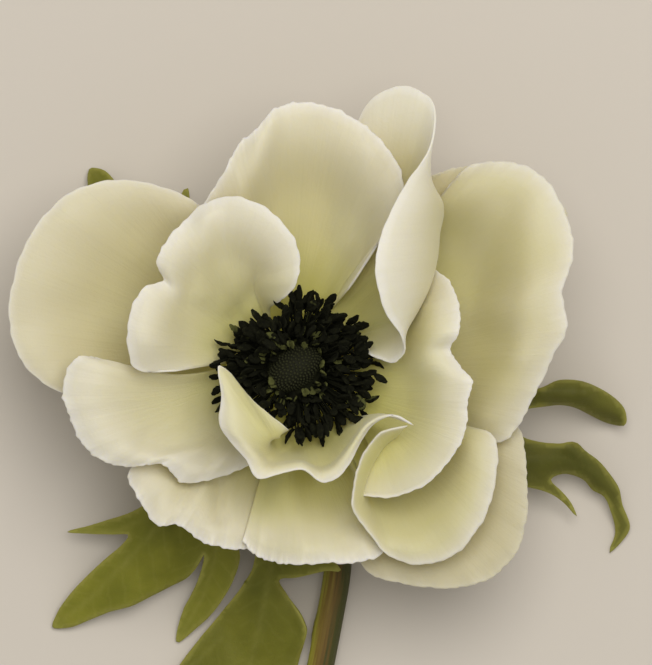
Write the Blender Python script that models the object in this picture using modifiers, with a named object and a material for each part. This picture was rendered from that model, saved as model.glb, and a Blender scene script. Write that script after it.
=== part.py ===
"""White garden anemone, picked with its stem and laid on a table with the bloom facing up.

The flower is modelled around its own axis, in millimetres: x and y across the bloom, and z up from the
table. It is then moved so that the origin is at the middle of its footprint, with +Y along the stem
towards the bloom and +Z up.
"""

import math

import bpy
import numpy as np
from mathutils import Vector
from mathutils.bvhtree import BVHTree
from mathutils.geometry import delaunay_2d_cdt

MM = 0.001  # the modelling unit, in metres

# Driving dimensions, in millimetres
SEAT_HEIGHT = 21.0  # the middle of the petals' seat above the table
RUNNING_GAP = 0.3  # between pieces that grow from one another
PETAL_THICKNESS = 0.7
PETAL_CLEARANCE = 1.15  # between the middles of petals that lie on one another
REST_REACH = 6.0  # a petal rests on blades up to this much above it; one rolled higher passes over it
LEAF_THICKNESS = 0.7
LEAF_GRID = 3.6  # spacing of the points inside a leaf
STEM_RADIUS = 2.25
STAMEN_RADIUS = 0.22
PISTIL_LONG, PISTIL_WIDE, PISTIL_TALL = 4.9, 3.7, 4.3
PISTIL_ANGLE = 35.0

PETAL_ACROSS, PETAL_ALONG = 19, 7  # columns of a petal, and rows from its claw to its margin

# The receptacle's outline as (radius, height above the seat)
RECEPTACLE = (
    (2.3, -9.0), (3.0, -7.6), (4.1, -6.2), (4.8, -4.0), (5.0, -1.0), (5.0, 1.6), (4.8, 3.0), (4.2, 3.8),
)

# Centre line of the stem, from inside the bloom to its cut end
STEM_PATH = (
    (0, 0, 11.4), (0, 0, 10.6), (0.1, -0.3, 9.2), (1.0, -2.5, 6.0), (3.0, -7.2, 3.4), (5.4, -14, 2.5),
    (7.0, -23, 2.45), (6.8, -33, 2.4), (5.5, -41, 2.4), (3.4, -52, 2.4), (0.6, -68, 2.4), (-2.4, -90, 2.4),
    (-4.6, -120, 2.4), (-4.0, -155, 2.4), (-1.6, -196, 2.4),
)

# Petals in the order they lie, lowest first: name, angle of the claw, its height above the seat, its width,
# and the rows that the blade passes through from the claw out to the margin, as (x, y, height above the
# seat), each running clockwise. A petal with one row is cupped by the depth given.
PETALS = (
    ("petal_right_back", 40, -6.0, 4.4, 2.0, ((
        (22, 31, 1.5), (27, 32.4, 2.5), (33, 32, 3), (39, 29.5, 3.5), (43.4, 25.6, 3.5), (43, 20, 3),
        (39, 11, 1), (30, 3, -2), (18, 0, -4.5),
    ),)),
    ("petal_lower_right_outer", 320, -4.8, 4.8, 3.0, ((
        (31, -5, 1), (36.4, -10.5, 4), (37.2, -17, 4.5), (37, -23.5, 4.5), (35, -29, 4), (31, -33.5, 3.5),
        (25, -35.3, 3), (18, -34.8, 2.5), (12, -33, 1.5), (8.5, -27, 0),
    ),)),
    ("petal_left_outer", 165, -4.2, 4.8, 3.0, ((
        (-17, -5, -1.5), (-27, -6, 1.5), (-36, -4.5, 3.5), (-41, -2, 4.5), (-44.5, 2, 5.5),
        (-45.6, 9, 6.5), (-44, 17, 7), (-40.5, 24, 7), (-35, 28.5, 6.5), (-28, 30.2, 5.5), (-21, 29, 4.5),
        (-15, 26, 3), (-9, 19, 0),
    ),)),
    ("petal_bottom_left", 222, -4.2, 4.6, 2.0, ((
        (-0.5, -13, -2), (-1, -21, 0), (-4, -27, 1.5), (-8, -29.4, 3), (-12, -29.3, 4), (-15.5, -27.8, 4.5),
        (-18.5, -25.4, 5), (-22.3, -25.6, 4.5), (-25, -22, 4), (-26.8, -18.2, 4), (-24, -13, 2.5),
    ),)),
    ("petal_bottom", 272, -3.4, 4.6, 2.0, ((
        (7, -11, 0), (11, -18, 1.5), (14.5, -25, 3.5), (14, -29.6, 6), (10, -31.4, 7), (5, -31.8, 7),
        (-1, -31.6, 7), (-6, -30.7, 6), (-8, -27, 5.5), (-8, -20, 4), (-6, -11, 1),
    ),)),
    ("petal_right", 8, -4.0, 4.8, 5.0, ((
        (25, 29.5, 6), (28.5, 32.4, 8.5), (33, 33, 10.5), (38.5, 31.6, 12), (41.5, 28, 13), (44, 22.5, 14.5),
        (44.6, 18.5, 15), (42.8, 12, 15), (43.5, 6, 14.5), (41.2, 1, 13), (38.7, -4.5, 11), (36.5, -8.5, 9),
        (34, -11.5, 7), (28, -11.5, 4),
    ),)),
    ("petal_left_lower", 192, -2.0, 4.8, 3.0, ((
        (-7, -10, 1.5), (-13, -16, 4.5), (-18.5, -17.4, 7.5), (-22, -15.4, 8.5), (-26, -15.8, 7.5),
        (-30, -15.2, 8), (-33.8, -12.5, 9), (-36, -8, 9.5), (-37, -3, 10), (-34.5, 1.7, 10),
    ),)),
    ("petal_lower_right", 310, -1.6, 4.6, 0.0, ((
        (17.5, -6.5, 0.6), (20.5, -8.3, 1.8), (20.5, -12, 2.4), (19, -16, 2.2), (15.5, -18.5, 1.6),
        (12, -18.8, 1.8), (9.6, -17.2, 3.2), (7.8, -14.8, 4.2),
    ), (
        (27, -9.5, 7), (32, -12, 9.5), (32.2, -16.5, 10.5), (31.2, -21.5, 10.5), (29, -26.5, 10),
        (25.5, -30, 9), (20.5, -31, 8), (15.5, -29.8, 7.5), (12, -26.5, 8.5), (9.3, -22, 9.5),
        (8.8, -17.5, 9.5),
    ))),
    ("petal_right_inner", 343, 0.6, 4.8, 0.0, ((
        (14.4, 8.8, 2.8), (16.6, 7.5, 5.5), (16.5, 4, 7), (16.5, 0, 7), (17.3, -3.5, 7), (17, -7, 6.4),
        (15.4, -10, 5.4), (13.4, -11.4, 4.4), (11.6, -11.2, 4),
    ), (
        (22, 16.2, 9), (25, 13.5, 13), (26.2, 9, 16.5), (25.5, 5.5, 18), (24, 3, 17), (26, 0.8, 17),
        (28.2, -2, 17.5), (27.6, -5.5, 17), (27.3, -9.5, 16), (25.3, -13.5, 14.5), (21.5, -17.6, 13),
        (16, -20.3, 11), (12.7, -20.6, 8.5),
    ))),
    ("petal_upper_right", 50, -2.8, 4.6, 0.0, ((
        (5, 14, 0), (7.8, 19, 1), (11, 24, 2), (14.5, 28, 3), (18, 30, 5), (21, 29, 7.5), (23.3, 27, 10),
        (23, 22, 10), (22.5, 17, 10), (21, 12, 10), (18, 7.5, 8), (15, 5.2, 6.5), (11, 3.7, 3.5),
    ), (
        (6, 26, 2), (9.5, 38, 5), (12.5, 43.3, 7), (17.5, 45.3, 9), (21.6, 43.3, 11), (22, 36.5, 15),
        (17.5, 29, 20), (14, 22, 23), (13, 16, 23.5), (14.2, 10, 22), (17.6, 4.6, 18), (17.5, 1.7, 13),
        (12.5, 2.5, 9),
    ))),
    ("petal_top", 92, -1.4, 4.8, 3.0, ((
        (-14.8, 26, 9.5), (-11, 32, 12), (-9, 35.8, 12.5), (-6, 38.8, 12.5), (-3, 41.6, 12), (0, 42.5, 12),
        (5, 42, 11.5), (9.5, 40, 11), (13.3, 37, 10.5), (16.8, 32, 9.5), (18.3, 27, 9), (17, 21, 7.5),
        (14, 14, 4.5),
    ),)),
    ("petal_left_inner", 145, 0.6, 4.6, 0.0, ((
        (-12, 0.6, 4.5), (-16.5, 3.5, 7), (-17.5, 8, 8.5), (-16, 13, 9.5), (-13.5, 16, 10), (-10, 17, 10),
        (-7, 15.5, 9), (-6, 12.5, 6.5), (-4, 9.5, 4.5),
    ), (
        (-19, -0.4, 8.5), (-25.6, 0.3, 11.5), (-26.6, 4.5, 14), (-26.3, 9, 14.5),
        (-24, 12.8, 14), (-21, 14.2, 13), (-22, 17, 15), (-21.5, 19.7, 15.5), (-18.7, 23, 15),
        (-15, 25.9, 14.5), (-10, 27.4, 15.5), (-5, 25.6, 17), (-1.2, 22, 17.5), (0.8, 18, 17),
        (0.5, 14, 16), (-1.4, 11.4, 13), (-2.8, 10.6, 9.3),
    ))),
    ("petal_front_inner", 262, 0.6, 4.6, 0.0, ((
        (8.3, -8.2, 5), (7.6, -9.4, 5), (6, -10.8, 4.5), (4, -12.3, 4.5), (1, -12.8, 4.5), (-1.5, -12.8, 5),
        (-3.2, -12.5, 5.5), (-4.2, -11.9, 6.2), (-4.5, -11.2, 6.4), (-4.5, -10.4, 6.2), (-4.3, -9.6, 5.6),
        (-3.9, -8.8, 5),
    ), (
        (13.5, -8.3, 10), (12, -8.6, 11.5), (8, -12, 10.5), (5.5, -15.8, 10.5), (1, -15, 10.5),
        (-4, -15.3, 11), (-5.8, -13, 12), (-7.5, -10.8, 13), (-7.6, -8.8, 13.2), (-7.4, -7, 12.8),
        (-5.6, -8.6, 12), (-3.8, -9.7, 11), (-2.4, -10.2, 9.3),
    ), (
        (17.8, -8.7, 12.5), (15.1, -7.6, 14.5), (9.6, -13, 15.5), (6, -18.4, 14.5), (0.5, -16.2, 15.5),
        (-6, -17.3, 15), (-8.5, -13, 15.5), (-12, -9, 15.5), (-11.8, -5, 15), (-12.2, 0.4, 13.5),
        (-8.6, -4, 14), (-4.7, -7, 13.5), (-1.2, -9.7, 12.5),
    ))),
)

# Leaves of the ruff below the bloom: name, outline (x, y) and ribs (x, y, height above the table)
LEAVES = (
    ("leaf_lower_left", (
        (-2.6, -0.4), (-8, -4.5), (-14, -10.5), (-19, -17), (-24, -22), (-26.7, -23.7), (-30, -24.6),
        (-33.6, -25.6), (-37, -26.6), (-33.6, -27), (-29.5, -26.9), (-26.7, -27.2), (-28, -28.7),
        (-30, -30.4), (-32.5, -32.6), (-35, -35), (-37, -37.4), (-38.5, -39.6), (-39.6, -42.5),
        (-37, -42.4), (-33.5, -41), (-30, -39.6), (-26.7, -38.7), (-23.3, -37), (-20, -35.3),
        (-17.5, -34), (-15.9, -32.3), (-14.6, -30.4), (-15.4, -33.6), (-16.8, -36.7), (-18.2, -39.4),
        (-19.2, -45), (-16, -42.3), (-13.4, -39.8), (-11.4, -37), (-10, -34.3), (-9, -31), (-9.5, -27),
        (-8.5, -22), (-6.5, -15), (-4, -9), (-1.6, -2.7),
    ), (
        ((-2.2, -1.6, 9.4), (-10, -10, 10.5), (-19, -20, 9.5), (-28, -26, 6.5), (-36.5, -26.5, 4.0)),
        ((-19, -22, 9.3), (-27, -31, 6.0), (-34, -38, 2.6), (-39, -42, 0.8)),
        ((-12, -20, 9.5), (-13, -30, 6.0), (-15, -37, 2.8), (-18.8, -44, 0.8)),
    )),
    ("leaf_bottom", (
        (-1.3, -3.3), (-2.8, -10), (-4.5, -18), (-6, -26), (-6.4, -30.5), (-6.9, -32.6), (-8.3, -35),
        (-10.3, -37.7), (-12, -39.8), (-15.3, -43.8), (-18.2, -47.5), (-21.5, -53), (-16.5, -51.5),
        (-13.5, -52.5), (-14.2, -58), (-12.5, -66), (-9, -60), (-6, -54.5), (-3, -57), (-1, -60.5),
        (-0.4, -54), (0.3, -47.5), (1, -45.6), (1.9, -42.7), (1.3, -40.9), (-1.2, -37), (-2.5, -34.5),
        (0, -34.6), (3, -35.2), (5.6, -34.6), (7.4, -33), (5.5, -31.4), (2, -30), (-0.6, -27.5),
        (-0.6, -20), (0, -11), (1.3, -3.5),
    ), (
        ((0, -3.4, 9.4), (-1.2, -12, 10.0), (-2.8, -22, 9.2), (-3.6, -30, 7.2), (-5, -38, 4.6),
         (-7, -47, 2.2), (-9, -55, 1.1), (-12, -65, 0.7)),
        ((-12, -44, 2.4), (-20.5, -52, 0.7)),
        ((-2, -50, 1.4), (-1.4, -59, 0.7)),
        ((0, -31, 7.6), (4, -33, 6.6), (7, -33, 6.2)),
    )),
    ("leaf_right", (
        (2.7, 0.7), (12, -1), (22, -3), (30, -5), (36, -5.2), (39, -3.6), (40.7, -3), (42.1, -2.3),
        (45.3, -2.2), (47.6, -2.8), (50, -3.8), (52, -5.2), (53.2, -6.5), (53.7, -8.1), (53.6, -9.3),
        (52, -9.2), (50, -8.9), (47.6, -7.9), (45.3, -7), (43.3, -6.6), (40.5, -7), (35.5, -9),
        (36.4, -10.9), (39.3, -12.1), (42.5, -12.3), (45.7, -12.3), (46.8, -13.4), (49.2, -15.2),
        (51.2, -17.6), (52.5, -19.6), (53.2, -22.3), (54.4, -26.5), (53, -28.4), (51, -30.2),
        (52, -26.8), (51.2, -23.1), (50, -20.5), (48.5, -19.7), (47, -18.2), (45.3, -17.4),
        (43.7, -17.1), (41.6, -18), (43.3, -20.1), (44.9, -22.1), (45.8, -24.3), (43.7, -22.2),
        (41.7, -20.8), (39.7, -19.9), (37.4, -19.2), (30, -16), (20, -10), (10, -5), (2.5, -2.2),
    ), (
        ((2.6, -0.8, 9.4), (14, -4, 11.0), (26, -7, 11.5), (37, -6.5, 9.5), (46, -5, 7.0),
         (53, -8.5, 3.5)),
        ((26, -9, 11.3), (36, -14, 9.0), (44, -15.5, 6.5), (50.5, -19.5, 3.8), (53.4, -27, 1.2),
         (51.3, -30, 0.8)),
        ((38, -17.5, 8.0), (42.5, -20.3, 5.2), (45.6, -24, 3.4)),
    )),
    ("leaf_upper_left", (
        (-0.2, 2.7), (-8, 10), (-14, 19), (-16.8, 25), (-17.6, 29.3), (-19.6, 26), (-21, 22.8),
        (-24, 25), (-28.5, 29.3), (-31.5, 32.2), (-33.3, 32.4), (-33.6, 29.2), (-28, 21), (-20, 12.5),
        (-10, 5.5), (-2.5, 1.2),
    ), (
        ((-1.6, 2.0, 9.4), (-10, 8, 11.0), (-20, 17, 9.0), (-28, 25.5, 5.0), (-33, 32, 0.9)),
        ((-16, 17, 9.4), (-17.8, 28.8, 4.5)),
    )),
)

# Whorls of stamens, outermost first: their angles, and the path (radius, height above the seat) of
# filament foot, filament middle, anther base and anther tip
STAMENS = (
    ((-85, -63, -28, -11, 7, 26, 47, 69, 91, 135, 157, 179, 201, 223),
     ((5.45, 2.4), (8.2, 5.6), (10.6, 7.6), (13.4, 8.9))),
    ((-74, -44, -14, 16, 46, 76, 136, 166, 196, 226), ((5.4, 3.2), (7.0, 6.6), (8.2, 8.8), (10.4, 10.4))),
    ((0, 45, 90, 135, 180, 225, 270, 315), ((5.3, 4.0), (6.0, 6.4), (6.4, 8.0), (7.6, 9.9))),
)
ANTHER_WIDTH, ANTHER_DEPTH = 1.3, 0.8


def clear_scene():
    for item in list(bpy.data.objects):
        bpy.data.objects.remove(item, do_unlink=True)


def material(name, colour, roughness):
    made = bpy.data.materials.new(name)
    made.use_nodes = True
    shader = made.node_tree.nodes["Principled BSDF"]
    shader.inputs["Base Color"].default_value = (*colour, 1)
    shader.inputs["Roughness"].default_value = roughness
    made.diffuse_color = (*colour, 1)
    return made


def add(name, points, faces, look, group):
    """One named piece from millimetre points, smooth shaded."""
    mesh = bpy.data.meshes.new(name)
    vertices = [tuple(float(value) * MM for value in point) for point in points]
    mesh.from_pydata(vertices, [], [tuple(int(k) for k in face) for face in faces])
    mesh.shade_smooth()
    mesh.materials.append(look)
    piece = bpy.data.objects.new(name, mesh)
    group.objects.link(piece)
    return piece


def thicken(piece, thickness):
    shell = piece.modifiers.new("thickness", "SOLIDIFY")
    shell.thickness = thickness * MM
    shell.offset = 0


def spline(control, count):
    """count points, even in parameter, on the smooth curve through the control points."""
    control = np.asarray(control, float)
    padded = np.vstack([2 * control[0] - control[1], control, 2 * control[-1] - control[-2]])
    place = np.linspace(0, len(control) - 1, count)
    span = np.minimum(place.astype(int), len(control) - 2)
    part = (place - span)[:, None]
    before, start, end, after = (padded[span + k] for k in range(4))
    return 0.5 * (
        2 * start
        + (end - before) * part
        + (2 * before - 5 * start + 4 * end - after) * part**2
        + (3 * start - before - 3 * end + after) * part**3
    )


def receptacle_radius(height):
    radii, heights = zip(*RECEPTACLE)
    return float(np.interp(height, heights, radii))


def claw_row(angle, height, width):
    """The narrow foot of a petal, curved round the receptacle and running clockwise."""
    radius = receptacle_radius(height) + RUNNING_GAP + PETAL_THICKNESS / 2
    half = math.degrees(width / 2 / radius)
    turns = np.radians(np.linspace(angle - half, angle + half, 5))
    return np.stack([radius * np.cos(turns), radius * np.sin(turns), np.full(5, height)], axis=1)


def petal_sheet(angle, height, width, cup, rows, across, along):
    """Points of a petal that fans out from its claw to its margin, above the seat."""
    claw = claw_row(angle, height, width)
    rows = [np.asarray(row, float) for row in rows]
    if math.dist(claw[0, :2], rows[-1][0, :2]) > math.dist(claw[-1, :2], rows[-1][0, :2]):
        claw = claw[::-1]
    if len(rows) == 1:
        foot, margin = spline(claw, across), spline(rows[0], across)
        middle = foot * 0.42 + margin * 0.58
        middle[:, 2] -= cup
        fans = np.stack([foot, middle, margin])
    else:
        fans = np.stack([spline(row, across) for row in [claw, *rows]])
    return np.stack([spline(fans[:, k], along) for k in range(across)], axis=1)


def sheet_faces(along, across):
    index = np.arange(along * across).reshape(along, across)
    return [
        (index[i, k], index[i, k + 1], index[i + 1, k + 1], index[i + 1, k])
        for i in range(along - 1)
        for k in range(across - 1)
    ]


def rest_on(sheet, lower):
    """The sheet lifted wherever it would meet the sheets beneath it, and eased so that it stays smooth."""
    trees = []
    for other in lower:
        faces = [tuple(map(int, face)) for face in sheet_faces(*other.shape[:2])]
        trees.append(BVHTree.FromPolygons(other.reshape(-1, 3).tolist(), faces))
    ring = [(0.0, 0.0)] + [(0.7 * math.cos(a), 0.7 * math.sin(a)) for a in np.arange(8) * math.pi / 4]
    lift = np.zeros(sheet.shape[:2])
    for place in np.ndindex(*lift.shape):
        x, y, z = sheet[place]
        for tree in trees:
            for dx, dy in ring:
                hit, normal = tree.ray_cast(Vector((x + dx, y + dy, z + REST_REACH)), Vector((0, 0, -1)))[:2]
                if hit is not None and place[0] > 0:
                    clear = PETAL_CLEARANCE / max(abs(normal.z), 0.45)
                    lift[place] = max(lift[place], hit.z + clear - z)
    eased = lift
    for _ in range(6):
        wide = np.pad(eased, 1, mode="edge")
        around = (wide[:-2, 1:-1] + wide[2:, 1:-1] + wide[1:-1, :-2] + wide[1:-1, 2:]) / 4
        eased = np.maximum(lift, around)
        eased[0] = 0
    raised = sheet.copy()
    raised[:, :, 2] += eased
    return raised


def build_petals(look, group):
    sheets = {}
    for name, angle, height, width, cup, rows in PETALS:
        sheet = petal_sheet(angle, height, width, cup, rows, PETAL_ACROSS, PETAL_ALONG)
        sheets[name] = rest_on(sheet, sheets.values())
    for name, sheet in sheets.items():
        points = sheet.reshape(-1, 3) + (0, 0, SEAT_HEIGHT)
        thicken(add(name, points, sheet_faces(*sheet.shape[:2]), look, group), PETAL_THICKNESS)


def inside(point, outline):
    """Whether a point is inside a closed outline."""
    x, y = point
    start, end = outline, np.roll(outline, -1, axis=0)
    crosses = (start[:, 1] > y) != (end[:, 1] > y)
    rise = np.where(end[:, 1] == start[:, 1], 1, end[:, 1] - start[:, 1])
    at = (end[:, 0] - start[:, 0]) * (y - start[:, 1]) / rise + start[:, 0]
    return np.count_nonzero(crosses & (x < at)) % 2 == 1


def rib_height(point, ribs):
    """Height of a leaf over the table, carried smoothly between its ribs."""
    gap = np.hypot(ribs[:, 0] - point[0], ribs[:, 1] - point[1])
    weight = 1 / (gap**2 + 1) ** 2
    return float(np.sum(weight * ribs[:, 2]) / np.sum(weight))


def build_leaf(name, outline, ribs, look, group):
    outline = np.asarray(outline, float)
    ribs = np.vstack([spline(rib, 4 * len(rib)) for rib in ribs])
    low, high = outline.min(axis=0), outline.max(axis=0)
    field = []
    for row, y in enumerate(np.arange(low[1], high[1], LEAF_GRID * 0.87)):
        for x in np.arange(low[0] + (row % 2) * LEAF_GRID / 2, high[0], LEAF_GRID):
            near = np.min(np.hypot(outline[:, 0] - x, outline[:, 1] - y))
            if near > LEAF_GRID * 0.45 and inside((x, y), outline):
                field.append((x, y))
    flat = [Vector((float(x), float(y))) for x, y in [*outline, *field]]
    made = delaunay_2d_cdt(flat, [], [list(range(len(outline)))], 1, 1e-5)
    points = [(p.x, p.y, rib_height(p, ribs)) for p in made[0]]
    thicken(add(name, points, made[2], look, group), LEAF_THICKNESS)


def revolve(profile, sides, scale_y, turn, base):
    """Points and faces of a closed solid turned from (radius, height) rings."""
    angles = np.arange(sides) * 2 * math.pi / sides
    points, faces = [], []
    for radius, height in profile:
        for angle in angles:
            x, y = radius * math.cos(angle), radius * math.sin(angle) * scale_y
            points.append((
                x * math.cos(turn) - y * math.sin(turn), x * math.sin(turn) + y * math.cos(turn), height + base,
            ))
    for i in range(len(profile) - 1):
        for k in range(sides):
            n = (k + 1) % sides
            faces.append((i * sides + k, i * sides + n, (i + 1) * sides + n, (i + 1) * sides + k))
    faces.append(tuple(reversed(range(sides))))
    faces.append(tuple(range((len(profile) - 1) * sides, len(profile) * sides)))
    return points, faces


def build_receptacle(look, group):
    points, faces = revolve(RECEPTACLE, 20, 1, 0, SEAT_HEIGHT)
    add("receptacle", points, faces, look, group)


def build_pistil(look, group):
    """The dark cushion of carpels on top of the receptacle."""
    turns = np.radians((0, 22, 42, 60, 76, 86))
    profile = [(PISTIL_LONG * math.cos(t), PISTIL_TALL * math.sin(t)) for t in turns]
    base = SEAT_HEIGHT + RECEPTACLE[-1][1] + RUNNING_GAP
    points, faces = revolve(profile, 20, PISTIL_WIDE / PISTIL_LONG, math.radians(PISTIL_ANGLE), base)
    add("pistil_cushion", points, faces, look, group)


def build_stem(look, group):
    path = spline(STEM_PATH, 43)
    curve = bpy.data.curves.new("stem", "CURVE")
    curve.dimensions = "3D"
    curve.bevel_depth = STEM_RADIUS * MM
    curve.bevel_resolution = 3
    curve.use_fill_caps = True
    line = curve.splines.new("POLY")
    line.points.add(len(path) - 1)
    for knot, (x, y, z) in zip(line.points, path):
        knot.co = (x * MM, y * MM, z * MM, 1)
    curve.materials.append(look)
    group.objects.link(bpy.data.objects.new("stem", curve))


def build_stamen(name, angle, path, look, group):
    """A thin filament that ends in a flat pointed anther."""
    turn = math.radians(angle)
    outward = np.array((math.cos(turn), math.sin(turn), 0))
    sideways = np.array((-math.sin(turn), math.cos(turn), 0))
    foot, middle, base, tip = (outward * r + (0, 0, SEAT_HEIGHT + z) for r, z in path)
    along = (tip - base) / np.linalg.norm(tip - base)
    face = np.cross(along, sideways)
    rings = [
        (foot, STAMEN_RADIUS, STAMEN_RADIUS), (middle, STAMEN_RADIUS, STAMEN_RADIUS),
        (base, STAMEN_RADIUS, STAMEN_RADIUS),
        (base * 0.75 + tip * 0.25, ANTHER_WIDTH / 2, ANTHER_DEPTH / 2),
        (base * 0.3 + tip * 0.7, ANTHER_WIDTH / 2, ANTHER_DEPTH / 2),
        (tip, 0.15, 0.12),
    ]
    points = [
        centre + offset
        for centre, wide, deep in rings
        for offset in (sideways * wide, face * deep, -sideways * wide, -face * deep)
    ]
    faces = [(3, 2, 1, 0), tuple(range(len(points) - 4, len(points)))]
    for i in range(len(rings) - 1):
        for k in range(4):
            n = (k + 1) % 4
            faces.append((4 * i + k, 4 * i + n, 4 * i + 4 + n, 4 * i + 4 + k))
    add(name, points, faces, look, group)


def build_stamens(look, group):
    number = 0
    for angles, path in STAMENS:
        for angle in angles:
            number += 1
            build_stamen(f"stamen_{number:02d}", angle, path, look, group)


def set_origin(group):
    """Moves the flower so that the origin is at the middle of its footprint, on the table."""
    bpy.context.view_layer.update()
    depsgraph = bpy.context.evaluated_depsgraph_get()
    corners = []
    for piece in group.objects:
        mesh = piece.evaluated_get(depsgraph).to_mesh()
        corners += [piece.matrix_world @ v.co for v in mesh.vertices]
    corners = np.array(corners)
    middle = (corners.min(axis=0) + corners.max(axis=0)) / 2
    shift = Vector((-middle[0], -middle[1], -corners[:, 2].min()))
    for piece in group.objects:
        piece.location = shift


def main():
    clear_scene()
    group = bpy.data.collections.new("anemone")
    bpy.context.scene.collection.children.link(group)
    petal = material("petal", (0.78, 0.74, 0.6), 0.5)
    leaf = material("leaf", (0.2, 0.25, 0.06), 0.5)
    stem = material("stem", (0.22, 0.2, 0.08), 0.5)
    seat = material("receptacle", (0.4, 0.45, 0.15), 0.6)
    cushion = material("pistil", (0.03, 0.035, 0.02), 0.7)
    anther = material("anther", (0.015, 0.018, 0.01), 0.6)
    build_stem(stem, group)
    build_receptacle(seat, group)
    build_pistil(cushion, group)
    build_petals(petal, group)
    for name, outline, ribs in LEAVES:
        build_leaf(name, outline, ribs, leaf, group)
    build_stamens(anther, group)
    set_origin(group)


main()
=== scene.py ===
import math
import random

import bpy
import numpy as np
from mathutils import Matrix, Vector, noise
from mathutils.bvhtree import BVHTree
from mathutils.geometry import delaunay_2d_cdt


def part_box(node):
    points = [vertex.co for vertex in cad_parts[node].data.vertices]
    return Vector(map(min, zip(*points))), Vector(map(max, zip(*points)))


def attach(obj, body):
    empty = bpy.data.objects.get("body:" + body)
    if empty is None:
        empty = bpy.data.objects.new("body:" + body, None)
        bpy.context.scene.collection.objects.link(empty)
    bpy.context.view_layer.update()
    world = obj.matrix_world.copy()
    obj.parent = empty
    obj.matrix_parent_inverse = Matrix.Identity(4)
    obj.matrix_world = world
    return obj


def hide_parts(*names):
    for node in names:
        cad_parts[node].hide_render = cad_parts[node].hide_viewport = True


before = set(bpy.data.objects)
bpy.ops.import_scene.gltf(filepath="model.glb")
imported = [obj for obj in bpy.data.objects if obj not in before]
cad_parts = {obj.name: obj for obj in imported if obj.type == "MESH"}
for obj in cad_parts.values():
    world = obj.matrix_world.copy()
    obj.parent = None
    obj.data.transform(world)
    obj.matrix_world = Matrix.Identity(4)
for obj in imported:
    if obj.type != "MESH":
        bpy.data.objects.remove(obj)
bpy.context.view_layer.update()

MM = 0.001

# ---- Stem -------------------------------------------------------------------------------------------
# The picked stem: a juicy ribbed tube, green on one side and flushed red-brown on the other, that bends
# behind the bloom and lies along the table. It was cut straight across with a knife.

# The flower's own axis stands over the middle of the receptacle, and the seat is the level that the
# heights of petals and stamens are measured from, a little below the receptacle's top
SEAT_DEPTH = 3.8
seat_low, seat_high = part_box("receptacle")
AXIS = np.array([(seat_low[0] + seat_high[0]) / 2, (seat_low[1] + seat_high[1]) / 2, 0]) / MM
SEAT = seat_high[2] / MM - SEAT_DEPTH
STEM_PATH = (
    (0, 0, 11.4), (0, 0, 10.6), (0.1, -0.3, 9.2), (1, -2.5, 6), (3, -7.2, 3.4), (5.4, -14, 2.5),
    (7, -23, 2.45), (6.8, -33, 2.4), (5.5, -41, 2.4), (3.4, -52, 2.4), (0.6, -68, 2.4), (-2.4, -90, 2.4),
    (-4.6, -120, 2.4), (-4, -155, 2.4), (-1.6, -196, 2.4),
)
STEM_RADIUS = 2.25
STEM_RINGS, STEM_SIDES = 420, 40
STEM_RIBS = 7
STEM_ABOVE_TABLE = 0.03
# The scar of an old leaf: how far along the stem, how tall and how long it is
KNOT_AT, KNOT_TALL, KNOT_LONG = 48.5, 0.35, 1.6
# The dished cut face as rings of (share of the radius, depth under the rim)
CUT_FACE = ((0.93, -0.12), (0.7, -0.05), (0.45, 0.12), (0.2, 0.3))


def smooth_line(control, count):
    """count points on the smooth curve through the control points, even in the points' own order."""
    control = np.asarray(control, float)
    step = np.maximum(np.linalg.norm(np.diff(control, axis=0), axis=-1, keepdims=True), 1e-6)
    slope = np.diff(control, axis=0) / step
    inner = (step[:-1] * slope[1:] + step[1:] * slope[:-1]) / (step[:-1] + step[1:])
    tangent = np.concatenate([slope[:1], inner, slope[-1:]])
    place = np.linspace(0, len(control) - 1, count)
    span = np.minimum(place.astype(int), len(control) - 2)
    t = (place - span).reshape((-1,) + (1,) * (control.ndim - 1))
    return (
        (2 * t**3 - 3 * t**2 + 1) * control[span]
        + (t**3 - 2 * t**2 + t) * step[span] * tangent[span]
        + (3 * t**2 - 2 * t**3) * control[span + 1]
        + (t**3 - t**2) * step[span] * tangent[span + 1]
    )


def round_turn(count):
    """count angles evenly round a circle."""
    return np.arange(count) * 2 * math.pi / count


def unit(vectors, least=0):
    """Vectors scaled to length 1, or less if they are shorter than the least length."""
    return vectors / np.maximum(np.linalg.norm(vectors, axis=-1, keepdims=True), least)


def distance_run(line):
    """How far along a line each of its points is."""
    return np.cumsum([0, *np.linalg.norm(np.diff(line, axis=0), axis=1)])


def add_mesh(name, points, faces, uv=None, values=None):
    """A smooth mesh piece from points in mm round the flower's axis, with a UV and values per point."""
    mesh = bpy.data.meshes.new(name)
    points = np.asarray(points, float)
    mesh.from_pydata(((points + AXIS) * MM).tolist(), [], [tuple(map(int, face)) for face in faces])
    mesh.shade_smooth()
    corner = np.empty(len(mesh.loops), int)
    mesh.loops.foreach_get("vertex_index", corner)
    if uv is not None:
        layer = mesh.uv_layers.new(name="blade")
        layer.data.foreach_set("uv", np.asarray(uv, float)[corner].ravel())
    for key, value in (values or {}).items():
        mesh.attributes.new(key, "FLOAT", "POINT").data.foreach_set("value", np.asarray(value, float))
    piece = bpy.data.objects.new(name, mesh)
    bpy.context.scene.collection.objects.link(piece)
    return piece


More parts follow.
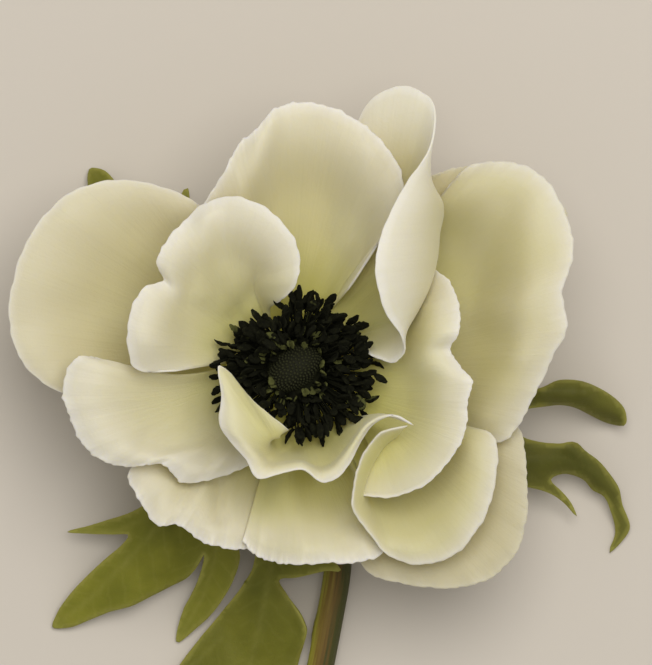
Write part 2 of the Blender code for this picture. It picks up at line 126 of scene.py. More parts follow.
class Look:
    """A Principled material with short calls for its nodes and links."""

    def __init__(self, name, roughness, scatter=None, **sockets):
        self.material = bpy.data.materials.new(name)
        self.material.use_nodes = True
        self.tree = self.material.node_tree
        self.shader = self.tree.nodes["Principled BSDF"]
        self.shader.inputs["Roughness"].default_value = roughness
        if scatter:
            self.shader.inputs["Subsurface Radius"].default_value = scatter
            self.shader.inputs["Subsurface Scale"].default_value = 1.0
        for key, value in sockets.items():
            self.shader.inputs[key.replace("_", " ")].default_value = value

    def node(self, kind, *links, **settings):
        made = self.tree.nodes.new("ShaderNode" + kind)
        for key, value in settings.items():
            if hasattr(made, key):
                setattr(made, key, value)
            else:
                made.inputs[key.replace("_", " ")].default_value = value
        for source, socket in links:
            self.link(source, made.inputs[socket])
        return made

    def link(self, source, target):
        if isinstance(target, str):
            target = self.shader.inputs[target]
        if isinstance(source, bpy.types.Node):
            source = source.outputs[0]
        self.tree.links.new(source, target)

    def value(self, name):
        """A value that the mesh stores for each point."""
        return self.node("Attribute", attribute_name=name).outputs["Fac"]

    def place(self, kind):
        """The piece's own Object or UV coordinates."""
        return self.node("TexCoord").outputs[kind]

    def noise(self, place, **settings):
        return self.node("TexNoise", (place, "Vector"), **settings)

    def maths(self, kind, *values):
        made = self.node("Math", operation=kind)
        for source, target in zip(values, made.inputs):
            if isinstance(source, (int, float)):
                target.default_value = source
            else:
                self.link(source, target)
        return made.outputs[0]

    def times(self, first, second):
        return self.maths("MULTIPLY", first, second)

    def sway(self, value, source, middle, amount):
        """A value pushed up or down by how far a pattern is from its middle."""
        return self.maths("ADD", value, self.times(self.maths("SUBTRACT", source, middle), amount))

    def rescale(self, source, low, high, first, last):
        """A value that runs from first to last while the source goes from low to high."""
        limits = dict(From_Min=low, From_Max=high, To_Min=first, To_Max=last)
        return self.node("MapRange", (source, "Value"), **limits)

    def ramp(self, source, *stops):
        """A colour ramp from (position, colour) stops."""
        made = self.node("ValToRGB", (source, "Fac"))
        points = made.color_ramp.elements
        while len(points) < len(stops):
            points.new(0.5)
        for point, (place, colour) in zip(points, stops):
            point.position = place
            point.color = (*colour, 1)
        return made

    def mix(self, share, first, second):
        """The second colour over the first, by a share that is a number or a socket."""
        made = self.node("Mix", data_type="RGBA")
        for source, target in ((share, made.inputs[0]), (first, made.inputs[6]), (second, made.inputs[7])):
            if isinstance(source, (bpy.types.Node, bpy.types.NodeSocket)):
                self.link(source, target)
            else:
                target.default_value = source if isinstance(source, (int, float)) else (*source, 1)
        return made.outputs[2]

    def bump(self, *layers):
        """Bumps one over another, each (height, distance, strength), the lowest first."""
        normal = None
        for height, distance, strength in layers:
            made = self.node("Bump", (height, "Height"), Distance=distance, Strength=strength)
            if normal is not None:
                self.link(normal, made.inputs["Normal"])
            normal = made.outputs[0]
        self.link(normal, "Normal")


def stem_mesh():
    """Rings along the path, ribbed and slightly uneven, with a dished cut face at the far end."""
    path = smooth_line(STEM_PATH, STEM_RINGS)
    ahead = unit(np.gradient(path, axis=0))
    # A side vector is carried down the bend so that the ribs don't twist
    current = np.array((-1.0, 0, 0))
    sides = []
    for forward in ahead:
        current = current - forward * current.dot(forward)
        current /= np.linalg.norm(current)
        sides.append(current.copy())
    side = np.array(sides)
    over = np.cross(side, ahead)
    turn = round_turn(STEM_SIDES)
    run = distance_run(path)
    points, uv = [], []
    for k in range(STEM_RINGS):
        for a in turn:
            lump = noise.noise(Vector((math.cos(a) * 0.8, math.sin(a) * 0.8, run[k] * 0.06)))
            rib = math.cos(STEM_RIBS * a + 0.6 * math.sin(run[k] * 0.03))
            radius = STEM_RADIUS * (0.975 + 0.018 * rib + 0.03 * lump)
            bulge = math.exp(-((run[k] - KNOT_AT) / KNOT_LONG) ** 2)
            radius += KNOT_TALL * bulge * max(0, math.cos(a - 0.2)) ** 3
            if path[k][2] < 3:
                radius = min(radius, path[k][2] - STEM_ABOVE_TABLE)
            points.append(path[k] + radius * (side[k] * math.cos(a) + over[k] * math.sin(a)))
            uv.append((a / (2 * math.pi), run[k]))
    faces = []
    for near in range(0, (STEM_RINGS - 1) * STEM_SIDES, STEM_SIDES):
        far = near + STEM_SIDES
        for i in range(STEM_SIDES):
            n = (i + 1) % STEM_SIDES
            faces.append((near + i, far + i, far + n, near + n))
    faces.append(tuple(range(STEM_SIDES)))
    last = (STEM_RINGS - 1) * STEM_SIDES
    cut = [0.0] * len(points)
    rim = [last + i for i in range(STEM_SIDES)]
    for share, depth in CUT_FACE:
        ring = []
        for i in range(STEM_SIDES):
            outward = points[last + i] - path[-1]
            points.append(path[-1] + outward * share - ahead[-1] * depth)
            uv.append((share, run[-1]))
            cut.append(share)
            ring.append(len(points) - 1)
        faces += list(zip(rim, ring, ring[1:] + ring[:1], rim[1:] + rim[:1]))
        rim = ring
    faces.append(tuple(reversed(rim)))
    round_stem = np.cos(np.array([p[0] for p in uv]) * 2 * math.pi - 0.15)
    return add_mesh("stem_skin", points, faces, uv, {"flush": round_stem, "cut": cut})


stem_look = Look("stem_skin", 0.5, (0.0012, 0.0010, 0.0004), Subsurface_Weight=0.08, Specular_IOR_Level=0.2)
lengthwise = stem_look.node("Mapping", (stem_look.place("UV"), "Vector"), Scale=(30, 0.08, 1))
streak = stem_look.noise(lengthwise, Scale=1.0, Detail=5.0, Roughness=0.6)
patch = stem_look.noise(stem_look.place("Object"), Scale=90.0, Detail=3.0)
flush = stem_look.maths("ADD", stem_look.times(stem_look.value("flush"), 0.5), 0.5)
flush = stem_look.sway(flush, streak, 0.5, 0.9)
skin = stem_look.ramp(
    flush, (0.12, (0.045, 0.044, 0.010)), (0.36, (0.13, 0.066, 0.014)), (0.62, (0.20, 0.125, 0.022)),
    (0.86, (0.32, 0.29, 0.035)),
)
skin = stem_look.mix(stem_look.times(patch, 0.35), skin, (0.12, 0.14, 0.03))
cut = stem_look.value("cut")
pith = stem_look.ramp(cut, (0.05, (0.30, 0.33, 0.13)), (0.6, (0.42, 0.45, 0.2)), (0.95, (0.2, 0.24, 0.07)))
stem_look.link(stem_look.mix(stem_look.maths("GREATER_THAN", cut, 0.02), skin, pith), "Base Color")
stem_look.bump((stem_look.noise(lengthwise, Scale=4.0, Detail=4.0), 0.0002, 0.6))

stem = stem_mesh()
stem.data.materials.append(stem_look.material)
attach(stem, "root")
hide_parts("stem")

# ---- Receptacle -------------------------------------------------------------------------------------
# The green knob at the top of the stem that carries everything else: it widens out of the stem and
# ends in a low shoulder under the stamens, where its crown is as dark as they are.

# Its skin darkens between these heights over the seat
CROWN_LOW, CROWN_HIGH = 0.5, 2.0

receptacle_look = Look("receptacle_skin", 0.85, Specular_IOR_Level=0.1)
freckle = receptacle_look.noise(receptacle_look.place("Object"), Scale=900.0, Detail=4.0)
skin = receptacle_look.ramp(freckle, (0.3, (0.16, 0.2, 0.05)), (0.7, (0.3, 0.34, 0.1)))
where = receptacle_look.node("NewGeometry").outputs["Position"]
height = receptacle_look.node("SeparateXYZ", (where, "Vector")).outputs[2]
crown = receptacle_look.rescale(height, (SEAT + CROWN_LOW) * MM, (SEAT + CROWN_HIGH) * MM, 0.0, 1.0)
receptacle_look.link(receptacle_look.mix(crown, skin, (0.010, 0.011, 0.004)), "Base Color")
receptacle_look.bump((freckle, 0.0003, 0.5))
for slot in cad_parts["receptacle"].material_slots:
    slot.material = receptacle_look.material

# ---- Leaves of the ruff -----------------------------------------------------------------------------
# Four thin divided leaves that grow in a ring from the stem just below the bloom. They arch out under
# the petals and droop until their tips touch the table. Each grew as one blade.

LEAF_THICKNESS = 0.42
LEAF_GRID = 0.75
LEAF_ABOVE_TABLE = 0.35
# Grooves over the ribs, slow waves, raised side veins and the turned-down margin
GROOVE_DEEP, GROOVE_WIDE = 0.28, 0.7
WAVE_TALL, WAVES_PER_MM = 0.5, 0.16
SIDE_VEIN_TALL, SIDE_VEIN_EVERY, SIDE_VEIN_SLANT = 0.06, 3.4, 0.8
MARGIN_DROP, MARGIN_WIDE = 0.25, 0.8
# Each has how dark it is, its outline as (x, y), the ribs that carry it as (x, y, height over the table)
# and its soft ridges and creases as (x0, y0, x1, y1, half width, height)
LEAVES = {
    "leaf_lower_left": dict(
        shade=0,
        outline=(
            (-2.6, -0.4), (-8, -4.5), (-14, -10.5), (-19, -17), (-24, -22), (-26.7, -23.5), (-30, -24.6),
            (-33.6, -25.7), (-37, -26.7), (-33.6, -27), (-29.5, -27.1), (-26.9, -27.2), (-28, -28.7),
            (-30, -30.4), (-32.5, -32.6), (-35, -35.1), (-37, -37.4), (-38.5, -39.6), (-39.5, -42.3),
            (-37, -42.3), (-33.5, -41), (-30, -39.6), (-26.7, -38.7), (-23.3, -37), (-20, -35.3),
            (-17.5, -34), (-15.9, -32.3), (-14.7, -30.2), (-15.4, -33.4), (-16.8, -36.7), (-18.2, -39.4),
            (-19.2, -44.8), (-16, -42.3), (-13.4, -39.8), (-11.4, -37), (-10, -34.3), (-9, -31),
            (-9.5, -27), (-8.5, -22), (-6.5, -15), (-4, -9), (-1.6, -2.7),
        ),
        ribs=(
            ((-2.2, -1.6, 9.4), (-10, -10, 10.5), (-19, -20, 9.5), (-28, -26, 6.5), (-36.5, -26.5, 4)),
            ((-19, -22, 9.3), (-27, -31, 6), (-34, -38, 2.6), (-39, -42, 0.8)),
            ((-12, -20, 9.5), (-13, -30, 6), (-15, -37, 2.8), (-18.8, -44, 0.8)),
        ),
        folds=((-14.5, -31, -15.5, -34, 1, 0.9), (-22, -27, -35, -37, 3.5, 0.8),
               (-27, -28, -24, -36, 2, -0.5)),
    ),
    "leaf_bottom": dict(
        shade=0.25,
        outline=(
            (-1.3, -3.3), (-2.8, -10), (-4.5, -18), (-6, -26), (-6.4, -30.5), (-6.9, -32.6), (-8.3, -35),
            (-10.3, -37.7), (-12, -39.8), (-15.3, -43.8), (-18.2, -47.5), (-21.5, -53), (-16.5, -51.5),
            (-13.5, -52.5), (-14.2, -58), (-12.5, -66), (-9, -60), (-6, -54.5), (-3, -57), (-1, -60.5),
            (-0.4, -54), (0.6, -47.5), (1.3, -45.2), (1.9, -42.7), (1.3, -40.9), (-1.2, -37), (-2.7, -34.4),
            (0, -34), (3, -33.4), (5.2, -32.9), (7.4, -33), (5.8, -31), (2, -29.6), (-0.6, -27.5),
            (-0.6, -20), (0, -11), (1.3, -3.5),
        ),
        ribs=(
            ((0, -3.4, 9.4), (-1.2, -12, 10), (-2.8, -22, 9.2), (-3.6, -30, 7.2), (-5, -38, 4.6),
             (-7, -47, 2.2), (-9, -55, 1.1), (-12, -65, 0.7)),
            ((-12, -44, 2.4), (-20.5, -52, 0.7)),
            ((-2, -50, 1.4), (-1.4, -59, 0.7)),
            ((0, -31, 7.6), (4, -33, 6.6), (7, -33, 6.2)),
        ),
        folds=((-4, -31, -6, -45, 1.6, 0.9), (-2.5, -31, 0, -42, 1.4, -0.7),
               (-9, -38, -16, -48, 2.5, -0.5)),
    ),
    "leaf_right": dict(
        # Its darkness is partly painted shade, for the shaded underside of a curled lobe
        shade=0.62,
        outline=(
            (2.7, 0.7), (12, -1), (22, -3), (30, -5), (36, -5.2), (39, -3.6), (40.7, -3), (42.1, -2.3),
            (45.3, -2.1), (47.6, -2.7), (50, -3.8), (52, -5.2), (53.2, -6.5), (53.8, -8.1), (53.6, -9.3),
            (52, -9.2), (50, -8.6), (47.6, -7.4), (45.3, -6.3), (43.3, -5.9), (40.5, -6.2), (35.5, -8),
            (36.4, -10.9), (39.3, -12), (42.5, -12.3), (45.7, -12.3), (46.8, -13.4), (49.2, -15.2),
            (51.2, -17.6), (52.5, -19.6), (53.2, -22.3), (54.4, -26.3), (53, -28.4), (51, -30.2),
            (52.1, -26.8), (51.2, -23.1), (50, -20.7), (48.4, -19.9), (47, -18.2), (45.3, -17.4),
            (43.7, -17.1), (41.4, -18.1), (43.3, -20.1), (44.9, -22.1), (45.8, -24.3), (43.7, -22),
            (41.7, -20.6), (39.7, -19.8), (37.4, -19.2), (30, -16), (20, -10), (10, -5), (2.5, -2.2),
        ),
        ribs=(
            ((2.6, -0.8, 9.4), (14, -4, 11), (26, -7, 11.5), (37, -5.5, 9.5), (46, -4, 7.6),
             (52.5, -7.5, 4)),
            ((26, -9, 11.3), (36, -14, 9), (44, -14.5, 6.5), (50.5, -19, 3.8), (53.4, -27, 1.2),
             (51.3, -30, 0.8)),
            ((38, -17.5, 8), (42.5, -20.3, 5.2), (45.6, -24, 3.4)),
        ),
        folds=((40, -4, 47, -4, 1.2, 1.3), (47, -4, 53, -7.5, 1.1, 1.2), (42, -6.5, 52, -9.3, 1.3, -2.2),
               (44, -12.5, 52, -20, 1, 0.9), (43, -17, 49, -20, 1.2, -1)),
    ),
    "leaf_upper_left": dict(
        shade=0.3,
        outline=(
            (-0.2, 2.7), (-8, 10), (-14, 19), (-16.8, 25), (-17.6, 29.3), (-19.6, 26), (-21, 22.8),
            (-24, 25), (-28.5, 29.3), (-31.5, 32.2), (-33.3, 32.4), (-33.6, 29.2), (-28, 21), (-20, 12.5),
            (-10, 5.5), (-2.5, 1.2),
        ),
        ribs=(
            ((-1.6, 2, 9.4), (-10, 8, 11), (-20, 17, 9), (-28, 25.5, 5), (-33, 32, 0.9)),
            ((-16, 17, 9.4), (-17.8, 28.8, 4.5)),
        ),
        folds=((-20, 16, -32, 30, 1.6, 0.6),),
    ),
}


def fold_lift(x, y, folds):
    """Height added at points by soft ridges, or taken by creases."""
    lift = np.zeros(np.shape(x))
    for x0, y0, x1, y1, width, height in folds:
        length = (x1 - x0) ** 2 + (y1 - y0) ** 2
        part = np.clip(((x - x0) * (x1 - x0) + (y - y0) * (y1 - y0)) / length, 0, 1)
        away = np.hypot(x - x0 - part * (x1 - x0), y - y0 - part * (y1 - y0))
        lift += height * np.exp(-(away / width) ** 2)
    return lift


def inside(x, y, outline):
    """Whether points are inside a closed outline."""
    found = np.zeros(np.shape(x), bool)
    for (ax, ay), (bx, by) in zip(outline, np.roll(outline, -1, axis=0)):
        crosses = (ay > y) != (by > y)
        rise = by - ay if by != ay else 1
        found ^= crosses & (x < (bx - ax) * (y - ay) / rise + ax)
    return found


def gaps(x, y, line):
    """Distance of every point from every point of a line, seen from above."""
    return np.hypot(line[:, 0] - x[:, None], line[:, 1] - y[:, None])


def leaf_mesh(name, outline, ribs, folds, shade):
    """A lobed blade filled inside its outline and carried by its ribs, grooved along each rib."""
    closed = smooth_line([*outline, outline[0]], len(outline) * 7 + 1)[:-1]
    keep = [0]
    for k, point in enumerate(closed):
        if np.hypot(*(point - closed[keep[-1]])) > LEAF_GRID * 0.6:
            keep.append(k)
    edge = closed[keep]
    low, high = edge.min(axis=0), edge.max(axis=0)
    rows = np.arange(low[1], high[1], LEAF_GRID * 0.87)
    x, y = np.meshgrid(np.arange(low[0], high[0], LEAF_GRID), rows)
    x = (x + (np.arange(len(rows)) % 2)[:, None] * LEAF_GRID / 2).ravel()
    y = y.ravel()
    chosen = inside(x, y, edge) & (np.min(gaps(x, y, edge), axis=1) > LEAF_GRID * 0.5)
    flat = [Vector(point) for point in [*edge.tolist(), *zip(x[chosen].tolist(), y[chosen].tolist())]]
    made = delaunay_2d_cdt(flat, [], [list(range(len(edge)))], 1, 1e-5)
    x, y = np.array([p.x for p in made[0]]), np.array([p.y for p in made[0]])
    # Each point takes its height from the ribs near it, and its UV from the nearest one
    lines = [smooth_line(rib, 12 * len(rib)) for rib in ribs]
    spine = np.vstack(lines)
    run = np.concatenate([distance_run(line) for line in lines])
    gap = gaps(x, y, spine)
    weight = 1 / (gap**2 + 1) ** 2
    z = np.sum(weight * spine[:, 2], axis=1) / np.sum(weight, axis=1)
    nearest = np.argmin(gap, axis=1)
    across = np.min(gap, axis=1)
    rim = np.min(gaps(x, y, edge), axis=1)
    ahead = np.gradient(spine, axis=0)[nearest]
    hand = np.sign(ahead[:, 0] * (y - spine[nearest, 1]) - ahead[:, 1] * (x - spine[nearest, 0]))
    wave = np.array([
        noise.noise(Vector((a * WAVES_PER_MM, b * WAVES_PER_MM, len(name)))) for a, b in zip(x, y)
    ])
    groove = GROOVE_DEEP * np.exp(-(across / GROOVE_WIDE) ** 2)
    z = z - groove + WAVE_TALL * wave * np.minimum(across / 3, 1)
    side_vein = np.cos((run[nearest] - SIDE_VEIN_SLANT * across) * 2 * math.pi / SIDE_VEIN_EVERY)
    z = z + SIDE_VEIN_TALL * side_vein * np.minimum(across / 1.5, 1) * np.minimum(rim / 1.5, 1)
    z = z + fold_lift(x, y, folds) - MARGIN_DROP * np.exp(-rim / MARGIN_WIDE)
    z = np.maximum(z, LEAF_ABOVE_TABLE)
    uv = np.stack([run[nearest], across * hand], axis=1)
    values = {
        "edge": np.exp(-rim / 0.35),
        "rib": np.exp(-(across / 0.45) ** 2),
        "shade": np.full(len(x), shade),
    }
    return add_mesh(name, np.stack([x, y, z], axis=1), made[2], uv, values)


leaf_look = Look(
    "leaf_blade", 0.58, (0.0008, 0.0012, 0.0003), Subsurface_Weight=0.12, Specular_IOR_Level=0.2,
)
spot = leaf_look.place("Object")
blotch = leaf_look.noise(spot, Scale=110.0, Detail=3.0, Roughness=0.5)
green = leaf_look.ramp(
    blotch, (0.3, (0.13, 0.135, 0.010)), (0.52, (0.175, 0.175, 0.015)), (0.72, (0.225, 0.22, 0.022)),
)
# Paler side veins slant away from the ribs, which are paler too
blade = leaf_look.node("SeparateXYZ", (leaf_look.place("UV"), "Vector"))
back = leaf_look.times(leaf_look.maths("ABSOLUTE", blade.outputs[1]), SIDE_VEIN_SLANT)
slant = leaf_look.maths("SUBTRACT", blade.outputs[0], back)
vein = leaf_look.maths("SINE", leaf_look.times(slant, 2 * math.pi / SIDE_VEIN_EVERY))
vein = leaf_look.maths("POWER", leaf_look.maths("ADD", leaf_look.times(vein, 0.5), 0.5), 10.0)
rib = leaf_look.times(leaf_look.value("rib"), 0.4)
vein = leaf_look.maths("MAXIMUM", leaf_look.times(vein, 0.16), rib)
green = leaf_look.mix(vein, green, (0.27, 0.26, 0.05))
green = leaf_look.mix(leaf_look.value("shade"), green, (0.035, 0.034, 0.006))
green = leaf_look.mix(leaf_look.times(leaf_look.value("edge"), 0.85), green, (0.34, 0.32, 0.07))
leaf_look.link(green, "Base Color")
rough = leaf_look.noise(spot, Scale=700.0, Detail=5.0)
cells = leaf_look.node("TexVoronoi", (spot, "Vector"), Scale=1500.0, feature="DISTANCE_TO_EDGE")
leaf_look.bump((rough, 0.0003, 0.35), (cells.outputs["Distance"], 0.00012, 0.35))

for leaf_name, shape in LEAVES.items():
    leaf = leaf_mesh(leaf_name + "_blade", shape["outline"], shape["ribs"], shape["folds"], shape["shade"])
    leaf.data.materials.append(leaf_look.material)
    shell = leaf.modifiers.new("thickness", "SOLIDIFY")
    shell.thickness = LEAF_THICKNESS * MM
    shell.offset = 0
    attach(leaf, "root")
    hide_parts(leaf_name)

# ---- Petals -----------------------------------------------------------------------------------------
# Thirteen thin white petals in loose whorls, each grown as one blade from a narrow claw on the side of
# the receptacle. Blades are cupped and ruffled, their margins roll outward, and they lie on one another.

PETAL_ACROSS, PETAL_ALONG = 133, 44
RESTING_ACROSS, RESTING_ALONG = 49, 19
CLAW_THICKNESS, MARGIN_THICKNESS = 0.6, 0.34
# The edge is rounded over these shares of the blade, down to this share of its thickness
ROUND_ACROSS, ROUND_ALONG, ROUND_LEAST = 0.015, 0.02, 0.08
# A claw stands this far out from the side of the receptacle
CLAW_OUT = 0.65
# The line where a blade sags most, as shares of its claw and its margin
SAG_SHARES = (0.42, 0.58)
# The rolled rim fades out at both ends, takes no more than a share of the blade, and the edge past its
# crest drops by a share of its rise
RIM_ENDS, RIM_MOST, RIM_DROP = 0.12, 0.42, 0.6
# Blades lie this far apart, middle to middle, felt for with rays on a circle round each point
PETAL_CLEARANCE = 0.8
FEELERS, FEELER_REACH = 6, 0.5
REST_REACH = 6.0
SPREAD_ROUNDS, SMOOTH_ROUNDS = 16, 3
MOST_NICKS = 0.35

# The side of the receptacle as (radius, height over the seat)
RECEPTACLE = (
    (2.3, -9), (3, -7.6), (4.1, -6.2), (4.8, -4), (5, -1), (5, 1.6), (4.8, 3), (4.2, 3.8),
)
